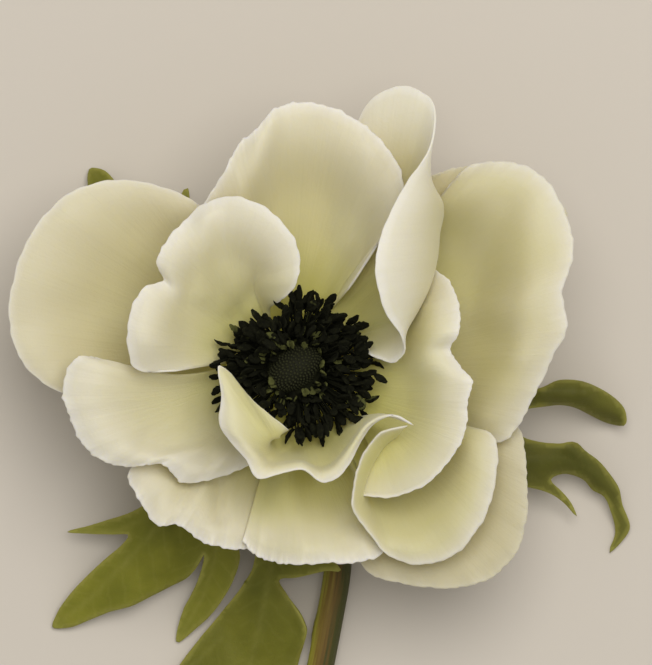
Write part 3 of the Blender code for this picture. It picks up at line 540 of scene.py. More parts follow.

# Lowest first. Each has
#   claw: the angle, height and width of its narrow foot
#   rows: lines across the blade, from claw to margin, as (x, y, height over the seat), all clockwise
#   cup: how deep a blade with only one row sags between claw and margin
#   rim: width and rise of the rolled margin, once or at even steps along it
#   ruffle and folds: how far the margin waves, and soft ridges and creases as on the leaves
#   shade: above 0, painted shade that makes a blade beige; below 0, painted light that whitens it
#   green: how much further out the green of the heart reaches; farther out it is painted shade
#   rest: how far over this blade's own place a lower one may be and still lift it, or else REST_REACH
PETALS = {
    "petal_right_back": dict(
        shade=0.5, claw=(40, -6, 4.4), cup=2, rim=((2, 0.5),), ruffle=0.5, rows=((
            (22, 31, 1.5), (27, 32.4, 2.5), (33, 32, 3), (39, 29.5, 3.5), (43.6, 25.2, 3.5), (43, 20, 3),
            (39, 11, 1), (30, 3, -2), (18, 0, -4.5),
        ),)),
    "petal_lower_right_outer": dict(
        shade=0.55, claw=(320, -4.8, 4.8), cup=3, rim=((2.6, 0.7),), ruffle=0.5, rows=((
            (31, -5, 1), (36.4, -10.5, 4), (37.2, -17, 4.5), (37.3, -23.5, 4.5), (35.6, -29.6, 4),
            (31.2, -33.9, 3.5), (25, -35.4, 3), (18, -34.8, 2.5), (12, -33, 1.5), (8.5, -27, 0),
        ),)),
    "petal_left_outer": dict(
        shade=0.2, claw=(165, -4.2, 4.8), cup=2.2, rim=((1.6, 0.4),), ruffle=0.35, rows=((
            (-17, -5, -1.5), (-27, -6, 1.5), (-36, -4.5, 3.5), (-41, -2, 4.5), (-44.6, 2.5, 5.5),
            (-45.9, 9, 6.5), (-44.6, 16.3, 7), (-40.8, 23.8, 7), (-35, 28.7, 6.5), (-28, 30.2, 5.5),
            (-21, 29, 4.5), (-15, 26, 3), (-9, 19, 0),
        ),), folds=((-43, 8, -20, 12, 4, -0.7), (-36, 24, -18, 14, 3, 0.5))),
    "petal_bottom_left": dict(
        claw=(222, -4.2, 4.6), cup=2, rim=((2.2, 0.7),), ruffle=1, rows=((
            (-0.5, -13, -2), (-1, -21, 0), (-4, -27, 1.5), (-8, -29.1, 3), (-12, -28.8, 4),
            (-15.5, -27.6, 4.5), (-18.5, -25.3, 5), (-22.1, -25.2, 4.5), (-24.8, -21.5, 4),
            (-26.8, -17.6, 4), (-24, -13, 2.5),
        ),), folds=((-12.5, -18.5, -12, -24, 1.3, -1.3), (-20, -19, -22, -24, 2, 0.8))),
    "petal_bottom": dict(
        green=0.3, claw=(272, -3.4, 4.6), cup=2, rim=((2.4, 0.7),), ruffle=0.9, rows=((
            (7, -11, 0), (11, -18, 1.5), (14.5, -25, 3.5), (14, -29.8, 6), (10, -31.2, 7), (5, -31.3, 7),
            (-1, -31.5, 6.6), (-4, -31, 5.4), (-6.6, -29.9, 4.4), (-8.4, -27.8, 3.4),
        ),), folds=((-1, -20, 2, -29, 2.4, 0.7), (5, -20, 8, -28, 2, -0.6))),
    "petal_right": dict(
        shade=0.18, green=0.45, claw=(8, -4, 4.8), cup=5, rim=((4.2, 1.4),), ruffle=0.5, rows=((
            (24.6, 29, 6), (28, 32.4, 8.5), (33, 33.1, 10.5), (38.5, 31.6, 12), (41.5, 28.4, 13),
            (43.9, 22.8, 14.5), (44.6, 18.5, 15), (42.8, 12.4, 15), (43.5, 6.6, 14.5), (41.2, 1.6, 13),
            (38.7, -3.8, 11), (36.6, -7.9, 9), (34, -11.5, 7), (28, -11.5, 4),
        ),), folds=((28, 8, 34, 26, 2.5, -0.6), (36, 2, 38, 26, 2.5, 0.7))),
    "petal_left_lower": dict(
        shade=-0.5, green=-0.2, claw=(192, -2, 4.8), ruffle=0.6,
        rim=((1.6, 0.6), (2.4, 1), (2.4, 1), (1.4, 0.6)), rows=((
            (-5.5, -7, -0.5), (-8.5, -10.5, 0.5), (-12.5, -11.5, 1.6), (-17, -10.5, 2.6), (-20.5, -8, 3.4),
            (-22, -5, 4.2), (-21.5, -2.6, 4.8), (-19.5, -1, 5.2),
        ), (
            (-6, -15.2, 1.6), (-12.4, -17.6, 2.8), (-18.2, -18.3, 5), (-21.4, -15.4, 7), (-26, -15.8, 7.2),
            (-30, -15.2, 8), (-33.8, -12.5, 9), (-36, -8, 9.5), (-37.2, -3.6, 10), (-34.6, 1.8, 10),
            (-31.5, 1.6, 9.6),
        )), folds=((-30, -3, -20, -8, 2.5, 0.6), (-24, -12, -14, -14.5, 1.6, -0.8))),
    "petal_lower_right": dict(
        shade=0.2, green=0.6, claw=(310, -1.6, 4.6), ruffle=0.3,
        rim=((2.2, 0.7), (4, 1.5), (3.8, 1.4), (3, 1.1), (1.8, 0.6), (1.6, 0.7), (1.8, 0.8), (1.2, 0.4)),
        rows=((
            (17.5, -6.5, 0.6), (20.5, -8.3, 1.8), (22.5, -11, 2.4), (22.5, -14.5, 2.6), (21, -18, 2.4),
            (18.5, -20.2, 2.2), (15.5, -21.4, 2.2), (13, -21.8, 2.6), (11.6, -20.8, 3.4), (11.2, -19, 4.2),
            (11.6, -17, 4.8), (12.6, -14.8, 5.2), (14, -12.8, 5.6), (15.6, -11.2, 6),
        ), (
            (27, -9.5, 7), (32, -11, 9.5), (32.4, -15.8, 10.5), (31.3, -21.7, 10.5), (28.8, -26.6, 10),
            (25.3, -30.1, 9), (20.5, -31.5, 8), (15.5, -30.4, 7.5), (12, -26.5, 9.5), (9.3, -22.4, 12),
            (9.6, -17.8, 13), (11.1, -13.4, 13.2), (13.8, -10.3, 13.4), (18, -9.2, 13),
        )), folds=((14, -22, 22, -27, 3, -0.6),)),
    "petal_right_inner": dict(
        shade=-0.35, green=0.3, claw=(343, 0.6, 4.8), ruffle=0.4, rest=0.8,
        rim=((1, 0.3), (2.6, 1.4), (2.4, 1.4), (2.4, 0.8), (1.2, 0.3), (0.6, 0.1)), rows=((
            (14.4, 8.8, 2.8), (16, 8.4, 4.2), (16.8, 7, 5.6), (16.6, 4.6, 6.8), (16.4, 2, 7),
            (16.4, -0.5, 7), (16.9, -2.8, 7), (17.3, -5, 6.8), (17.2, -7, 6.4), (16.4, -8.8, 5.6),
            (15.2, -10.6, 5), (13.6, -12.2, 4.4), (12, -13.4, 3.8),
        ), (
            (22, 16.2, 9), (25, 13.5, 13), (26.3, 9.4, 16.5), (26.3, 6, 18), (24.9, 2.9, 17),
            (26.2, 0.6, 17), (28.3, -2, 17.5), (27.6, -5.5, 17), (27.4, -9.5, 16), (25.6, -13.5, 14.5),
            (21.7, -18, 13), (16, -20.6, 9.4), (10.1, -20.4, 6),
        )), folds=((20, 3, 25, 3, 1.8, -0.8), (17, -10, 24, -12, 3, 0.7))),
    "petal_upper_right": dict(
        shade=-0.75, claw=(50, -2.8, 4.6), ruffle=0.2,
        rim=((1.6, 0.3), (1.6, 0.3), (1.8, 0.5), (2.8, 1.1), (3.2, 1.4), (2.6, 1), (1.6, 0.5), (1.2, 0.2)),
        rows=((
            (5, 14, 0), (7.8, 19, 1), (11, 24, 2), (14.5, 28, 3), (18, 30, 5), (21, 29, 7.5),
            (23.3, 27, 10), (23, 22, 10), (22.5, 17, 10), (21, 12, 10), (18.5, 8, 8.4), (16.5, 6.2, 7.4),
            (14.5, 5.2, 6.2), (12.5, 4.4, 4.8), (10.6, 3.8, 3.4),
        ), (
            (6, 26, 2), (9.5, 38, 5), (12.5, 43.3, 7), (17.5, 45.2, 9), (21.6, 43.3, 11), (22, 36.5, 15),
            (17.5, 29, 20), (14, 22, 23), (12.8, 16, 23.5), (14.2, 9.5, 22), (17.2, 4.6, 18.5),
            (17.5, 2.6, 15.6), (15.9, 0.9, 12.8), (13.2, 1.6, 10.5), (10.8, 3, 8.5),
        ))),
    "petal_top": dict(
        claw=(92, -1.4, 4.8), cup=3, rim=((2.4, 0.8),), ruffle=0.5, rows=((
            (-14.8, 26, 9.5), (-11, 32, 12), (-9, 35.8, 12.5), (-6.2, 38.2, 12.5), (-3, 41.6, 12),
            (0, 42.5, 12), (5, 42, 11.5), (9.5, 40, 11), (13.3, 37, 10.5), (16.8, 32, 9.5), (17.6, 27, 9),
            (13.4, 20, 7), (8.6, 12.6, 4.5),
        ),), folds=((-4, 39, -8, 27, 2, 1.2), (4, 38, 5, 22, 3, -0.5), (12, 34, 9, 20, 2, 0.5))),
    "petal_left_inner": dict(
        shade=-0.5, green=-0.2, claw=(145, 0.6, 4.6), rim=((2, 0.8),), ruffle=0.4, rows=((
            (-12, 0.6, 4.5), (-16.5, 3.5, 7), (-17.5, 8, 8.5), (-16, 13, 9.5), (-13.5, 16, 10),
            (-10, 17, 10), (-7, 15.5, 9), (-6, 12.5, 6.5), (-4, 9.5, 4.5),
        ), (
            (-19, -0.5, 8.5), (-25.8, 0.1, 11.5), (-26.7, 4.5, 14), (-26.3, 9, 14.5), (-24, 12.9, 14),
            (-21, 14.2, 13), (-22.1, 17, 15), (-20.8, 19.9, 15.5), (-18.2, 23, 15), (-15, 25.9, 14.5),
            (-10, 27.5, 15.5), (-5, 25.8, 17), (-1, 22.2, 17.5), (0.8, 18, 17), (0.6, 14.4, 16),
            (-1.2, 11.6, 13), (-2.8, 10.6, 9.3),
        )), folds=((-10, 8, -5, 15, 1.6, -0.9), (-14, 24, -15, 12, 1.8, 1), (-20, 8, -24, 5, 3, 0.6))),
    "petal_front_inner": dict(
        claw=(262, 0.6, 4.6), ruffle=0.1,
        rim=((1.2, 0.3), (2.6, 1.2), (2.8, 1.5), (2.6, 1.4), (2.2, 1.2), (1.8, 1), (1.6, 0.8), (1.6, 0.8),
             (1.8, 0.8), (2.4, 1.1), (2.8, 1.3), (2.6, 1.3), (2, 0.9), (0.8, 0.2), (0.1, 0), (0.1, 0)),
        rows=((
            (8.6, -7.8, 5), (8.1, -8.4, 5), (7.6, -9.2, 5), (6.6, -10.4, 4.8), (5.6, -11.3, 4.6),
            (4.4, -12, 4.5), (3, -12.5, 4.5), (1.2, -12.8, 4.5), (-0.6, -12.9, 4.8), (-2, -12.8, 5.2),
            (-3, -12.5, 5.6), (-3.6, -12.1, 6), (-3.9, -11.6, 6.2), (-4, -11.1, 6.2), (-3.9, -10.6, 6),
            (-3.7, -10.1, 5.6), (-3.4, -9.6, 5.2),
        ), (
            (15.4, -7.6, 10.5), (13, -7.6, 11.6), (10.6, -9.2, 11.8), (9, -11.6, 11.2), (7.2, -13.8, 10.6),
            (5.6, -15.2, 10.2), (3.8, -15.6, 10), (1.2, -14.8, 10.2), (-1.4, -14.8, 10.4),
            (-3.6, -14.8, 10.8), (-4.9, -13.9, 11.6), (-5.2, -13, 12.2), (-5, -12.3, 12.4),
            (-4.6, -11.8, 12.4), (-4, -11.3, 12.2), (-3.2, -10.9, 11.4), (-2.2, -10.6, 10),
        ), (
            (19, -9.1, 13), (15.8, -7.5, 14), (12.8, -8.7, 14.4), (10.6, -11.6, 14.4), (8.8, -15.2, 14.4),
            (6.9, -17.5, 14.2), (4.6, -18.3, 14.2), (1.3, -16.2, 15.2), (-2.4, -16.9, 15), (-6, -17.6, 15),
            (-7.8, -14.6, 15.6), (-10.2, -11.8, 16), (-12, -9, 16.2), (-11.7, -4.6, 15.6),
            (-12.2, 0.4, 13.8), (-6.5, -5.3, 12.6), (-0.9, -9.9, 10.6),
        ))),
}


def claw_row(angle, height, width):
    """The narrow foot of a petal, curved round the receptacle."""
    radii, heights = zip(*RECEPTACLE)
    radius = np.interp(height, heights, radii) + CLAW_OUT
    half = math.degrees(width / 2 / radius)
    turns = np.radians(np.linspace(angle - half, angle + half, 5))
    return np.stack([radius * np.cos(turns), radius * np.sin(turns), np.full(5, float(height))], axis=1)


def petal_cage(claw, cup, rim, rows, across):
    """Rows of a petal from claw to margin, each with the same number of columns, the last a rolled rim."""
    foot = claw_row(*claw)
    rows = [np.asarray(row, float) for row in rows]
    if math.dist(foot[0, :2], rows[-1][0, :2]) > math.dist(foot[-1, :2], rows[-1][0, :2]):
        foot = foot[::-1]
    rows = [smooth_line(row, across) for row in [foot, *rows]]
    if len(rows) == 2:
        middle = rows[0] * SAG_SHARES[0] + rows[1] * SAG_SHARES[1]
        middle[:, 2] -= cup
        rows.insert(1, middle)
    place = np.linspace(0, 1, across)
    steps = np.linspace(0, 1, len(rim))
    width, rise = (np.interp(place, steps, measure)[:, None] for measure in zip(*rim))
    inward = rows[-2] - rows[-1]
    length = np.linalg.norm(inward, axis=1, keepdims=True)
    from_end = np.minimum(np.arange(across), np.arange(across)[::-1])
    ends = np.clip(from_end / (across * RIM_ENDS), 0, 1)[:, None]
    crest = rows[-1] + inward / length * np.minimum(width, length * RIM_MOST)
    crest[:, 2:] += rise * ends
    rows[-1][:, 2:] -= rise * RIM_DROP * ends
    rows.insert(-1, crest)
    return np.stack(rows)


def grid_quads(along, across):
    """The point numbers of each quad of a grid."""
    index = np.arange(along * across).reshape(along, across)
    corners = (index[:-1, :-1], index[:-1, 1:], index[1:, 1:], index[1:, :-1])
    return np.stack(corners, axis=-1).reshape(-1, 4)


def rest_on(sheet, lower, height):
    """How far each point of a sheet is lifted to lie on the sheets beneath it."""
    trees = [
        BVHTree.FromPolygons(other.reshape(-1, 3).tolist(), grid_quads(*other.shape[:2]).tolist())
        for other in lower
    ]
    ring = [(FEELER_REACH * math.cos(a), FEELER_REACH * math.sin(a)) for a in round_turn(FEELERS)]
    ring.append((0, 0))
    lift = np.zeros(sheet.shape[:2])
    down = Vector((0, 0, -1))
    for place in np.ndindex(*lift.shape):
        x, y, z = sheet[place]
        if place[0] == 0:
            continue
        for tree in trees:
            for dx, dy in ring:
                hit, normal = tree.ray_cast(Vector((x + dx, y + dy, z + height)), down)[:2]
                if hit is not None:
                    clear = PETAL_CLEARANCE / max(abs(normal.z), 0.45)
                    lift[place] = max(lift[place], hit.z + clear - z)
    # The lift spreads softly to the points around, but the claw stays where it grew
    eased = lift
    for turn in range(SPREAD_ROUNDS + SMOOTH_ROUNDS):
        wide = np.pad(eased, 1, mode="edge")
        around = wide[:-2, 1:-1] + wide[2:, 1:-1] + wide[1:-1, :-2] + wide[1:-1, 2:]
        if turn < SPREAD_ROUNDS:
            eased = np.maximum(lift, around / 4)
        else:
            eased = (around + 2 * wide[1:-1, 1:-1]) / 6
        eased[0] = 0
    return eased


def wander(count, waves, draw):
    """A smooth random line of count values, about -1 to 1, made of a few waves."""
    place = np.linspace(0, 1, count)
    line = sum(
        np.sin(place * 2 * math.pi * wave + draw.uniform(0, 6.28)) * draw.uniform(0.4, 1)
        for wave in waves
    )
    return line / len(waves)


def petal_points(cage, lift, ruffle, folds, draw):
    """The fine surface of a petal: its cage, lifted onto its neighbours, with ruffles and soft folds."""
    across = smooth_line(np.swapaxes(np.asarray(cage), 0, 1), PETAL_ACROSS)
    grid = smooth_line(np.swapaxes(across, 0, 1), PETAL_ALONG)
    raised = smooth_line(np.swapaxes(smooth_line(lift[:, :, None], PETAL_ALONG), 0, 1), PETAL_ACROSS)
    grid[:, :, 2] += np.swapaxes(raised, 0, 1)[:, :, 0]
    v = np.linspace(0, 1, PETAL_ALONG)[:, None]
    wave = wander(PETAL_ACROSS, (3, 5, 8, 13), draw)[None, :]
    small = wander(PETAL_ACROSS, (21, 34), draw)[None, :]
    grid[:, :, 2] += ruffle * (wave * v**3 + 0.25 * small * v**8)
    grid[:, :, 2] += fold_lift(grid[:, :, 0], grid[:, :, 1], folds)
    inward = unit(grid[-4] - grid[-1], 0.1)
    nicks = wander(PETAL_ACROSS, (9, 14, 23, 37), draw) * min(ruffle, MOST_NICKS)
    return grid + nicks[None, :, None] * (v**6)[:, :, None] * inward[None]


def petal_mesh(name, grid, shade, green):
    """A closed blade round the surface: thicker at the claw, thin with a rounded edge at the margin."""
    along, across = grid.shape[:2]
    normal = unit(np.cross(np.gradient(grid, axis=1), np.gradient(grid, axis=0)), 1e-9)
    u, v = np.meshgrid(np.linspace(0, 1, across), np.linspace(0, 1, along))
    thick = (CLAW_THICKNESS + (MARGIN_THICKNESS - CLAW_THICKNESS) * np.minimum(v * 1.6, 1))[:, :, None]
    side = np.minimum(np.minimum(u, 1 - u) / ROUND_ACROSS, (1 - v) / ROUND_ALONG)
    round_off = np.sqrt(np.clip(1 - (1 - np.clip(side, 0, 1)) ** 2, ROUND_LEAST, 1))[:, :, None]
    half = thick * round_off / 2
    top, under = grid + normal * half, grid - normal * half
    quads = grid_quads(along, across)
    other = quads[:, ::-1] + along * across
    index = np.arange(along * across).reshape(along, across)
    loop = np.concatenate([index[0, :], index[1:, -1], index[-1, -2::-1], index[-2:0:-1, 0]])
    follow = np.roll(loop, -1)
    band = np.stack([follow, loop, loop + along * across, follow + along * across], axis=-1)
    points = np.concatenate([top.reshape(-1, 3), under.reshape(-1, 3)])
    faces = np.concatenate([quads, other, band]).tolist()
    uv = np.tile(np.stack([u.ravel(), v.ravel()], axis=1), (2, 1))
    values = {
        "reach": np.hypot(points[:, 0], points[:, 1]),
        "along": np.tile(v.ravel(), 2),
        "shade": np.full(len(points), shade),
        "green": np.full(len(points), green),
    }
    return add_mesh(name, points + (0, 0, SEAT), faces, uv, values)


petal_look = Look(
    "petal_blade", 0.5, (0.0022, 0.0019, 0.0009),
    Subsurface_Weight=0.35, Sheen_Weight=0.25, Sheen_Roughness=0.45, Specular_IOR_Level=0.35,
)
stretch = petal_look.node("Mapping", (petal_look.place("UV"), "Vector"), Scale=(70, 1.6, 1))
streak = petal_look.noise(stretch, Scale=1.0, Detail=4.0, Roughness=0.55)
cloud = petal_look.noise(petal_look.place("Object"), Scale=70.0, Detail=3.0)
along, shade = petal_look.value("along"), petal_look.value("shade")
# Pale toward the margin: own colour, painted shade toward the claw and a painted highlight on the rims
body = petal_look.ramp(
    along, (0.0, (0.42, 0.40, 0.09)), (0.3, (0.62, 0.57, 0.32)), (0.6, (0.70, 0.64, 0.46)),
    (0.85, (0.77, 0.715, 0.57)), (1.0, (0.85, 0.81, 0.71)),
)
# Green fades out from the heart of the bloom and along each blade: own colour and painted shade
depth = petal_look.rescale(petal_look.value("reach"), 6.0, 27.0, 1.0, 0.0)
depth = petal_look.sway(depth, cloud, 0.5, 0.7)
depth = petal_look.maths("ADD", depth, petal_look.value("green"))
green_and_shade = petal_look.ramp(depth, (0.25, (0.0, 0.0, 0.0)), (1.0, (1.0, 1.0, 1.0)))
green_and_shade = petal_look.times(green_and_shade, petal_look.rescale(along, 0.55, 0.95, 0.8, 0.1))
body = petal_look.mix(green_and_shade, body, (0.60, 0.57, 0.11))
# Above 0, painted shade makes a blade beige; below 0, painted light whitens it toward its margin
body = petal_look.mix(shade, body, (0.42, 0.37, 0.20))
painted_light = petal_look.times(shade, petal_look.rescale(along, 0.45, 0.85, -0.1, -1.0))
body = petal_look.mix(painted_light, body, (0.86, 0.82, 0.69))
veins = petal_look.times(petal_look.maths("SUBTRACT", streak, 0.42), 0.3)
petal_look.link(petal_look.mix(veins, body, (0.60, 0.55, 0.31)), "Base Color")
weave = petal_look.noise(petal_look.place("Object"), Scale=2200.0, Detail=3.0)
petal_look.bump((streak, 0.0004, 0.22), (weave, 0.00006, 0.5))

resting = {}
for number, (petal_name, shape) in enumerate(PETALS.items()):
    cage = petal_cage(shape["claw"], shape.get("cup"), shape["rim"], shape["rows"], RESTING_ACROSS)
    coarse = smooth_line(cage, RESTING_ALONG)
    lift = rest_on(coarse, resting.values(), shape.get("rest", REST_REACH))
    resting[petal_name] = coarse + lift[:, :, None] * (0, 0, 1)
    surface = petal_points(cage, lift, shape["ruffle"], shape.get("folds", ()), random.Random(40 + number))
    petal = petal_mesh(petal_name + "_blade", surface, shape.get("shade", 0.0), shape.get("green", 0.0))
    petal.data.materials.append(petal_look.material)
    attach(petal, "root")
    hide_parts(petal_name)

# ---- Pistil -----------------------------------------------------------------------------------------
# The dark egg-shaped head of tiny unripe fruits in the middle of the bloom. Each fruit is a blunt bead
# tipped with a short style, set in the same spiral as sunflower seeds.

pistil_low, pistil_high = (corner / MM for corner in map(np.array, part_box("pistil_cushion")))
PISTIL_SIZE = np.array([4.8, 3.2, 4.15])
PISTIL_ANGLE = math.radians(35)
PISTIL_MIDDLE, PISTIL_FOOT = 3.4, 1.2
CORE_SUNK = 0.2
CORE_GRID, CARPEL_GRID = (24, 40), (6, 7)
# Carpels are sunk into the egg and reach from its top to a little below its widest level
CARPELS, CARPELS_DOWN = 300, 1.08
CARPEL_LONG, CARPEL_WIDE, CARPEL_SUNK = 0.42, 0.27, 0.28


def ring_faces(rings, sides, start=0):
    """Quads between rings of points, one ring after the other."""
    return [
        (first + k, first + (k + 1) % sides, first + sides + (k + 1) % sides, first + sides + k)
        for first in range(start, start + (rings - 1) * sides, sides)
        for k in range(sides)
    ]


def gather(points, faces, more, more_faces):
    """Add a small shape to the points and faces of a piece."""
    start = len(points)
    points.extend(np.asarray(more).tolist())
    faces.extend([tuple(start + v for v in face) for face in more_faces])


def bead(rings, sides):
    """A closed bead of height 1 standing on the origin, blunt at the foot and pointed at the top."""
    places = np.linspace(0, 1, rings)
    radii = np.sqrt(np.clip(1 - (2 * places - 0.9) ** 2, 0, 1)) * (1 - 0.45 * places)
    turns = round_turn(sides)
    ring = np.stack([np.cos(turns), np.sin(turns), np.zeros(sides)], axis=1)
    points = [(0, 0, 0)]
    for radius, place in zip(radii[1:-1], places[1:-1]):
        points.extend(ring * radius + (0, 0, place))
    points.append((0, 0, 1))
    faces = [(0, 1 + (k + 1) % sides, 1 + k) for k in range(sides)]
    faces += ring_faces(rings - 2, sides, 1)
    start = 1 + (rings - 3) * sides
    faces += [(start + k, start + (k + 1) % sides, len(points) - 1) for k in range(sides)]
    return np.array(points), faces


def stand(points, foot, ahead, turn):
    """Points of a small shape turned round its own +Z, which then points ahead from the foot."""
    cos, sin = math.cos(turn), math.sin(turn)
    turned = points @ np.array([[cos, sin, 0], [-sin, cos, 0], [0, 0, 1]])
    return turned @ np.array(Vector(ahead).to_track_quat("Z", "Y").to_matrix()).T + foot


def pistil_mesh():
    """An egg-shaped core closely set with carpels."""
    draw = random.Random(5)
    centre = np.append((pistil_low[:2] + pistil_high[:2]) / 2 - AXIS[:2], SEAT + PISTIL_MIDDLE)
    cos, sin = math.cos(PISTIL_ANGLE), math.sin(PISTIL_ANGLE)
    turn = np.array([[cos, -sin, 0], [sin, cos, 0], [0, 0, 1]])
    points, faces, tips = [], [], []
    shape, shape_faces = bead(*CARPEL_GRID)
    for k in range(CARPELS):
        up = 1 - CARPELS_DOWN * (k + 0.5) / CARPELS
        angle = k * math.pi * (3 - math.sqrt(5))
        flat = math.sqrt(max(1 - up * up, 0))
        way = np.array([flat * math.cos(angle), flat * math.sin(angle), up])
        foot = turn @ (way * (PISTIL_SIZE - CARPEL_SUNK)) + centre
        ahead = turn @ (way / PISTIL_SIZE)
        ahead = ahead / np.linalg.norm(ahead) + (draw.uniform(-0.12, 0.12), draw.uniform(-0.12, 0.12), 0.1)
        size = (CARPEL_WIDE * draw.uniform(0.85, 1.15), CARPEL_WIDE, CARPEL_LONG * draw.uniform(0.85, 1.2))
        gather(points, faces, stand(shape * size, foot, ahead, draw.uniform(0, 6.28)), shape_faces)
        tips.extend(shape[:, 2])
    # The core is a bead blown up to a sphere, stretched to the egg and flat at its foot
    core, core_faces = bead(*CORE_GRID)
    for point in core:
        tall = math.pi * point[2]
        out = math.hypot(point[0], point[1])
        side = (point[0] / out, point[1] / out) if out > 1e-9 else (0, 0)
        point[:] = math.sin(tall) * side[0], math.sin(tall) * side[1], -math.cos(tall)
    core = (core * (PISTIL_SIZE - CORE_SUNK)) @ turn.T + centre
    core[:, 2] = np.maximum(core[:, 2], SEAT + PISTIL_FOOT)
    gather(points, faces, core, core_faces)
    tips.extend([0.0] * len(core))
    return add_mesh("pistil_head", points, faces, None, {"tip": tips})


pistil_look = Look("pistil", 0.8, Specular_IOR_Level=0.2)
grain = pistil_look.noise(pistil_look.place("Object"), Scale=600.0, Detail=3.0)
head = pistil_look.ramp(
    pistil_look.value("tip"), (0.0, (0.012, 0.013, 0.005)), (0.55, (0.022, 0.024, 0.008)),
    (1.0, (0.036, 0.038, 0.012)),
)
head = pistil_look.mix(pistil_look.times(grain, 0.4), head, (0.02, 0.02, 0.01))
pistil_look.link(head, "Base Color")
pistil_look.bump((grain, 0.0001, 0.4))

pistil = pistil_mesh()
pistil.data.materials.append(pistil_look.material)
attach(pistil, "root")
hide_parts("pistil_cushion")

# ---- Stamens ----------------------------------------------------------------------------------------
# A dense dark ring of stamens round the pistil. Each is a thin filament that grew from the top of the
# receptacle and carries a flat two-lobed anther, split along both sides and dusted with dark pollen.

FILAMENT_RADIUS, FILAMENT_RINGS, FILAMENT_SIDES = 0.13, 9, 6
ANTHER_RINGS, ANTHER_SIDES = 9, 12
ANTHER_FLATNESS, ANTHER_SUNK = 0.48, 0.15
# Filaments start in the top of the receptacle, each whorl a little lower and turned from the last
FOOT_REACH, FOOT_HEIGHT, FOOT_DROP = 4.25, 2.4, 0.3
WHORL_TURN = 11
# Each whorl has how many stamens it has, its reach from the axis, the height of its anthers over the
# seat, how long the anthers are, how far they lean outward, which share of them is olive and the
# numbers of the CAD's stamens that it stands for
WHORLS = (
    dict(count=100, reach=(11, 14.2), height=(5.6, 9), long=(2.3, 3.4), lean=(50, 88), olive=0,
         cad=range(1, 15)),
    dict(count=150, reach=(9, 12.4), height=(3.6, 9.6), long=(2.2, 3.2), lean=(30, 85), olive=0.02,
         cad=range(15, 25)),
    dict(count=150, reach=(6.8, 10.2), height=(3.2, 9.6), long=(1.9, 2.9), lean=(10, 70), olive=0.06,
         cad=range(25, 33)),
    dict(count=150, reach=(4.5, 7.4), height=(2.6, 7.6), long=(1.2, 2.1), lean=(0, 45), olive=0.42,
         cad=()),
)
# How far stamens reach in each direction, as a share
SPREAD = (
    (0, 1.0), (40, 0.9), (83, 0.86), (132, 0.76), (160, 0.88), (180, 1.0), (210, 0.96), (270, 0.86),
    (300, 0.9), (333, 1.0), (360, 1.0),
)
# The standing walls of the two inner petals leave no room between two directions, past a distance
WALLS = ((226, 264, 8.8), (100, 122, 9.0))
# Stamens stand lower between two directions, by so much
LOWER_SIDE = (150, 270, 1.6)


def closed_faces(rings, sides):
    """Quads between rings of points, with both ends closed."""
    last = (rings - 1) * sides
    return [*ring_faces(rings, sides), tuple(range(sides))[::-1], tuple(range(last, last + sides))]


def anther_mesh(long, draw):
    """One anther: two swollen lobes side by side, narrowed to a point, slightly twisted."""
    places = np.linspace(0, 1, ANTHER_RINGS)
    wide = draw.uniform(0.5, 0.76) * np.sin(np.pi * np.clip(places * 0.9 + 0.05, 0, 1)) ** 0.6
    turns = round_turn(ANTHER_SIDES)
    twist = draw.uniform(-0.5, 0.5)
    bow = draw.uniform(-0.12, 0.28)
    lobe = 0.62 + 0.38 * np.abs(np.cos(turns)) ** 0.6
    furrow = 1 - 0.45 * np.exp(-(np.cos(turns) / 0.28) ** 2)
    points = []
    for place, half in zip(places, wide):
        x = half * np.cos(turns)
        y = half * ANTHER_FLATNESS * np.sin(turns) * lobe * furrow
        rough = np.array([draw.uniform(-0.09, 0.09) for _ in turns])
        x, y = x * (1 + rough * 2), y * (1 + rough * 4)
        cos, sin = math.cos(twist * place), math.sin(twist * place)
        x, y = x * cos - y * sin, x * sin + y * cos + bow * long * (place - 0.5) ** 2 * 2
        points.extend(zip(x, y, np.full(ANTHER_SIDES, place * long)))
    return np.array(points), closed_faces(ANTHER_RINGS, ANTHER_SIDES)


def filament_mesh(path):
    """A thin closed tube along a path."""
    ahead = unit(np.gradient(path, axis=0))
    side = unit(np.cross(ahead, (0.13, 0.31, 0.94)))
    other = np.cross(ahead, side)
    turns = round_turn(FILAMENT_SIDES)[None, :, None]
    out = np.cos(turns) * side[:, None, :] + np.sin(turns) * other[:, None, :]
    points = (path[:, None, :] + FILAMENT_RADIUS * out).reshape(-1, 3)
    return points, closed_faces(len(path), FILAMENT_SIDES)


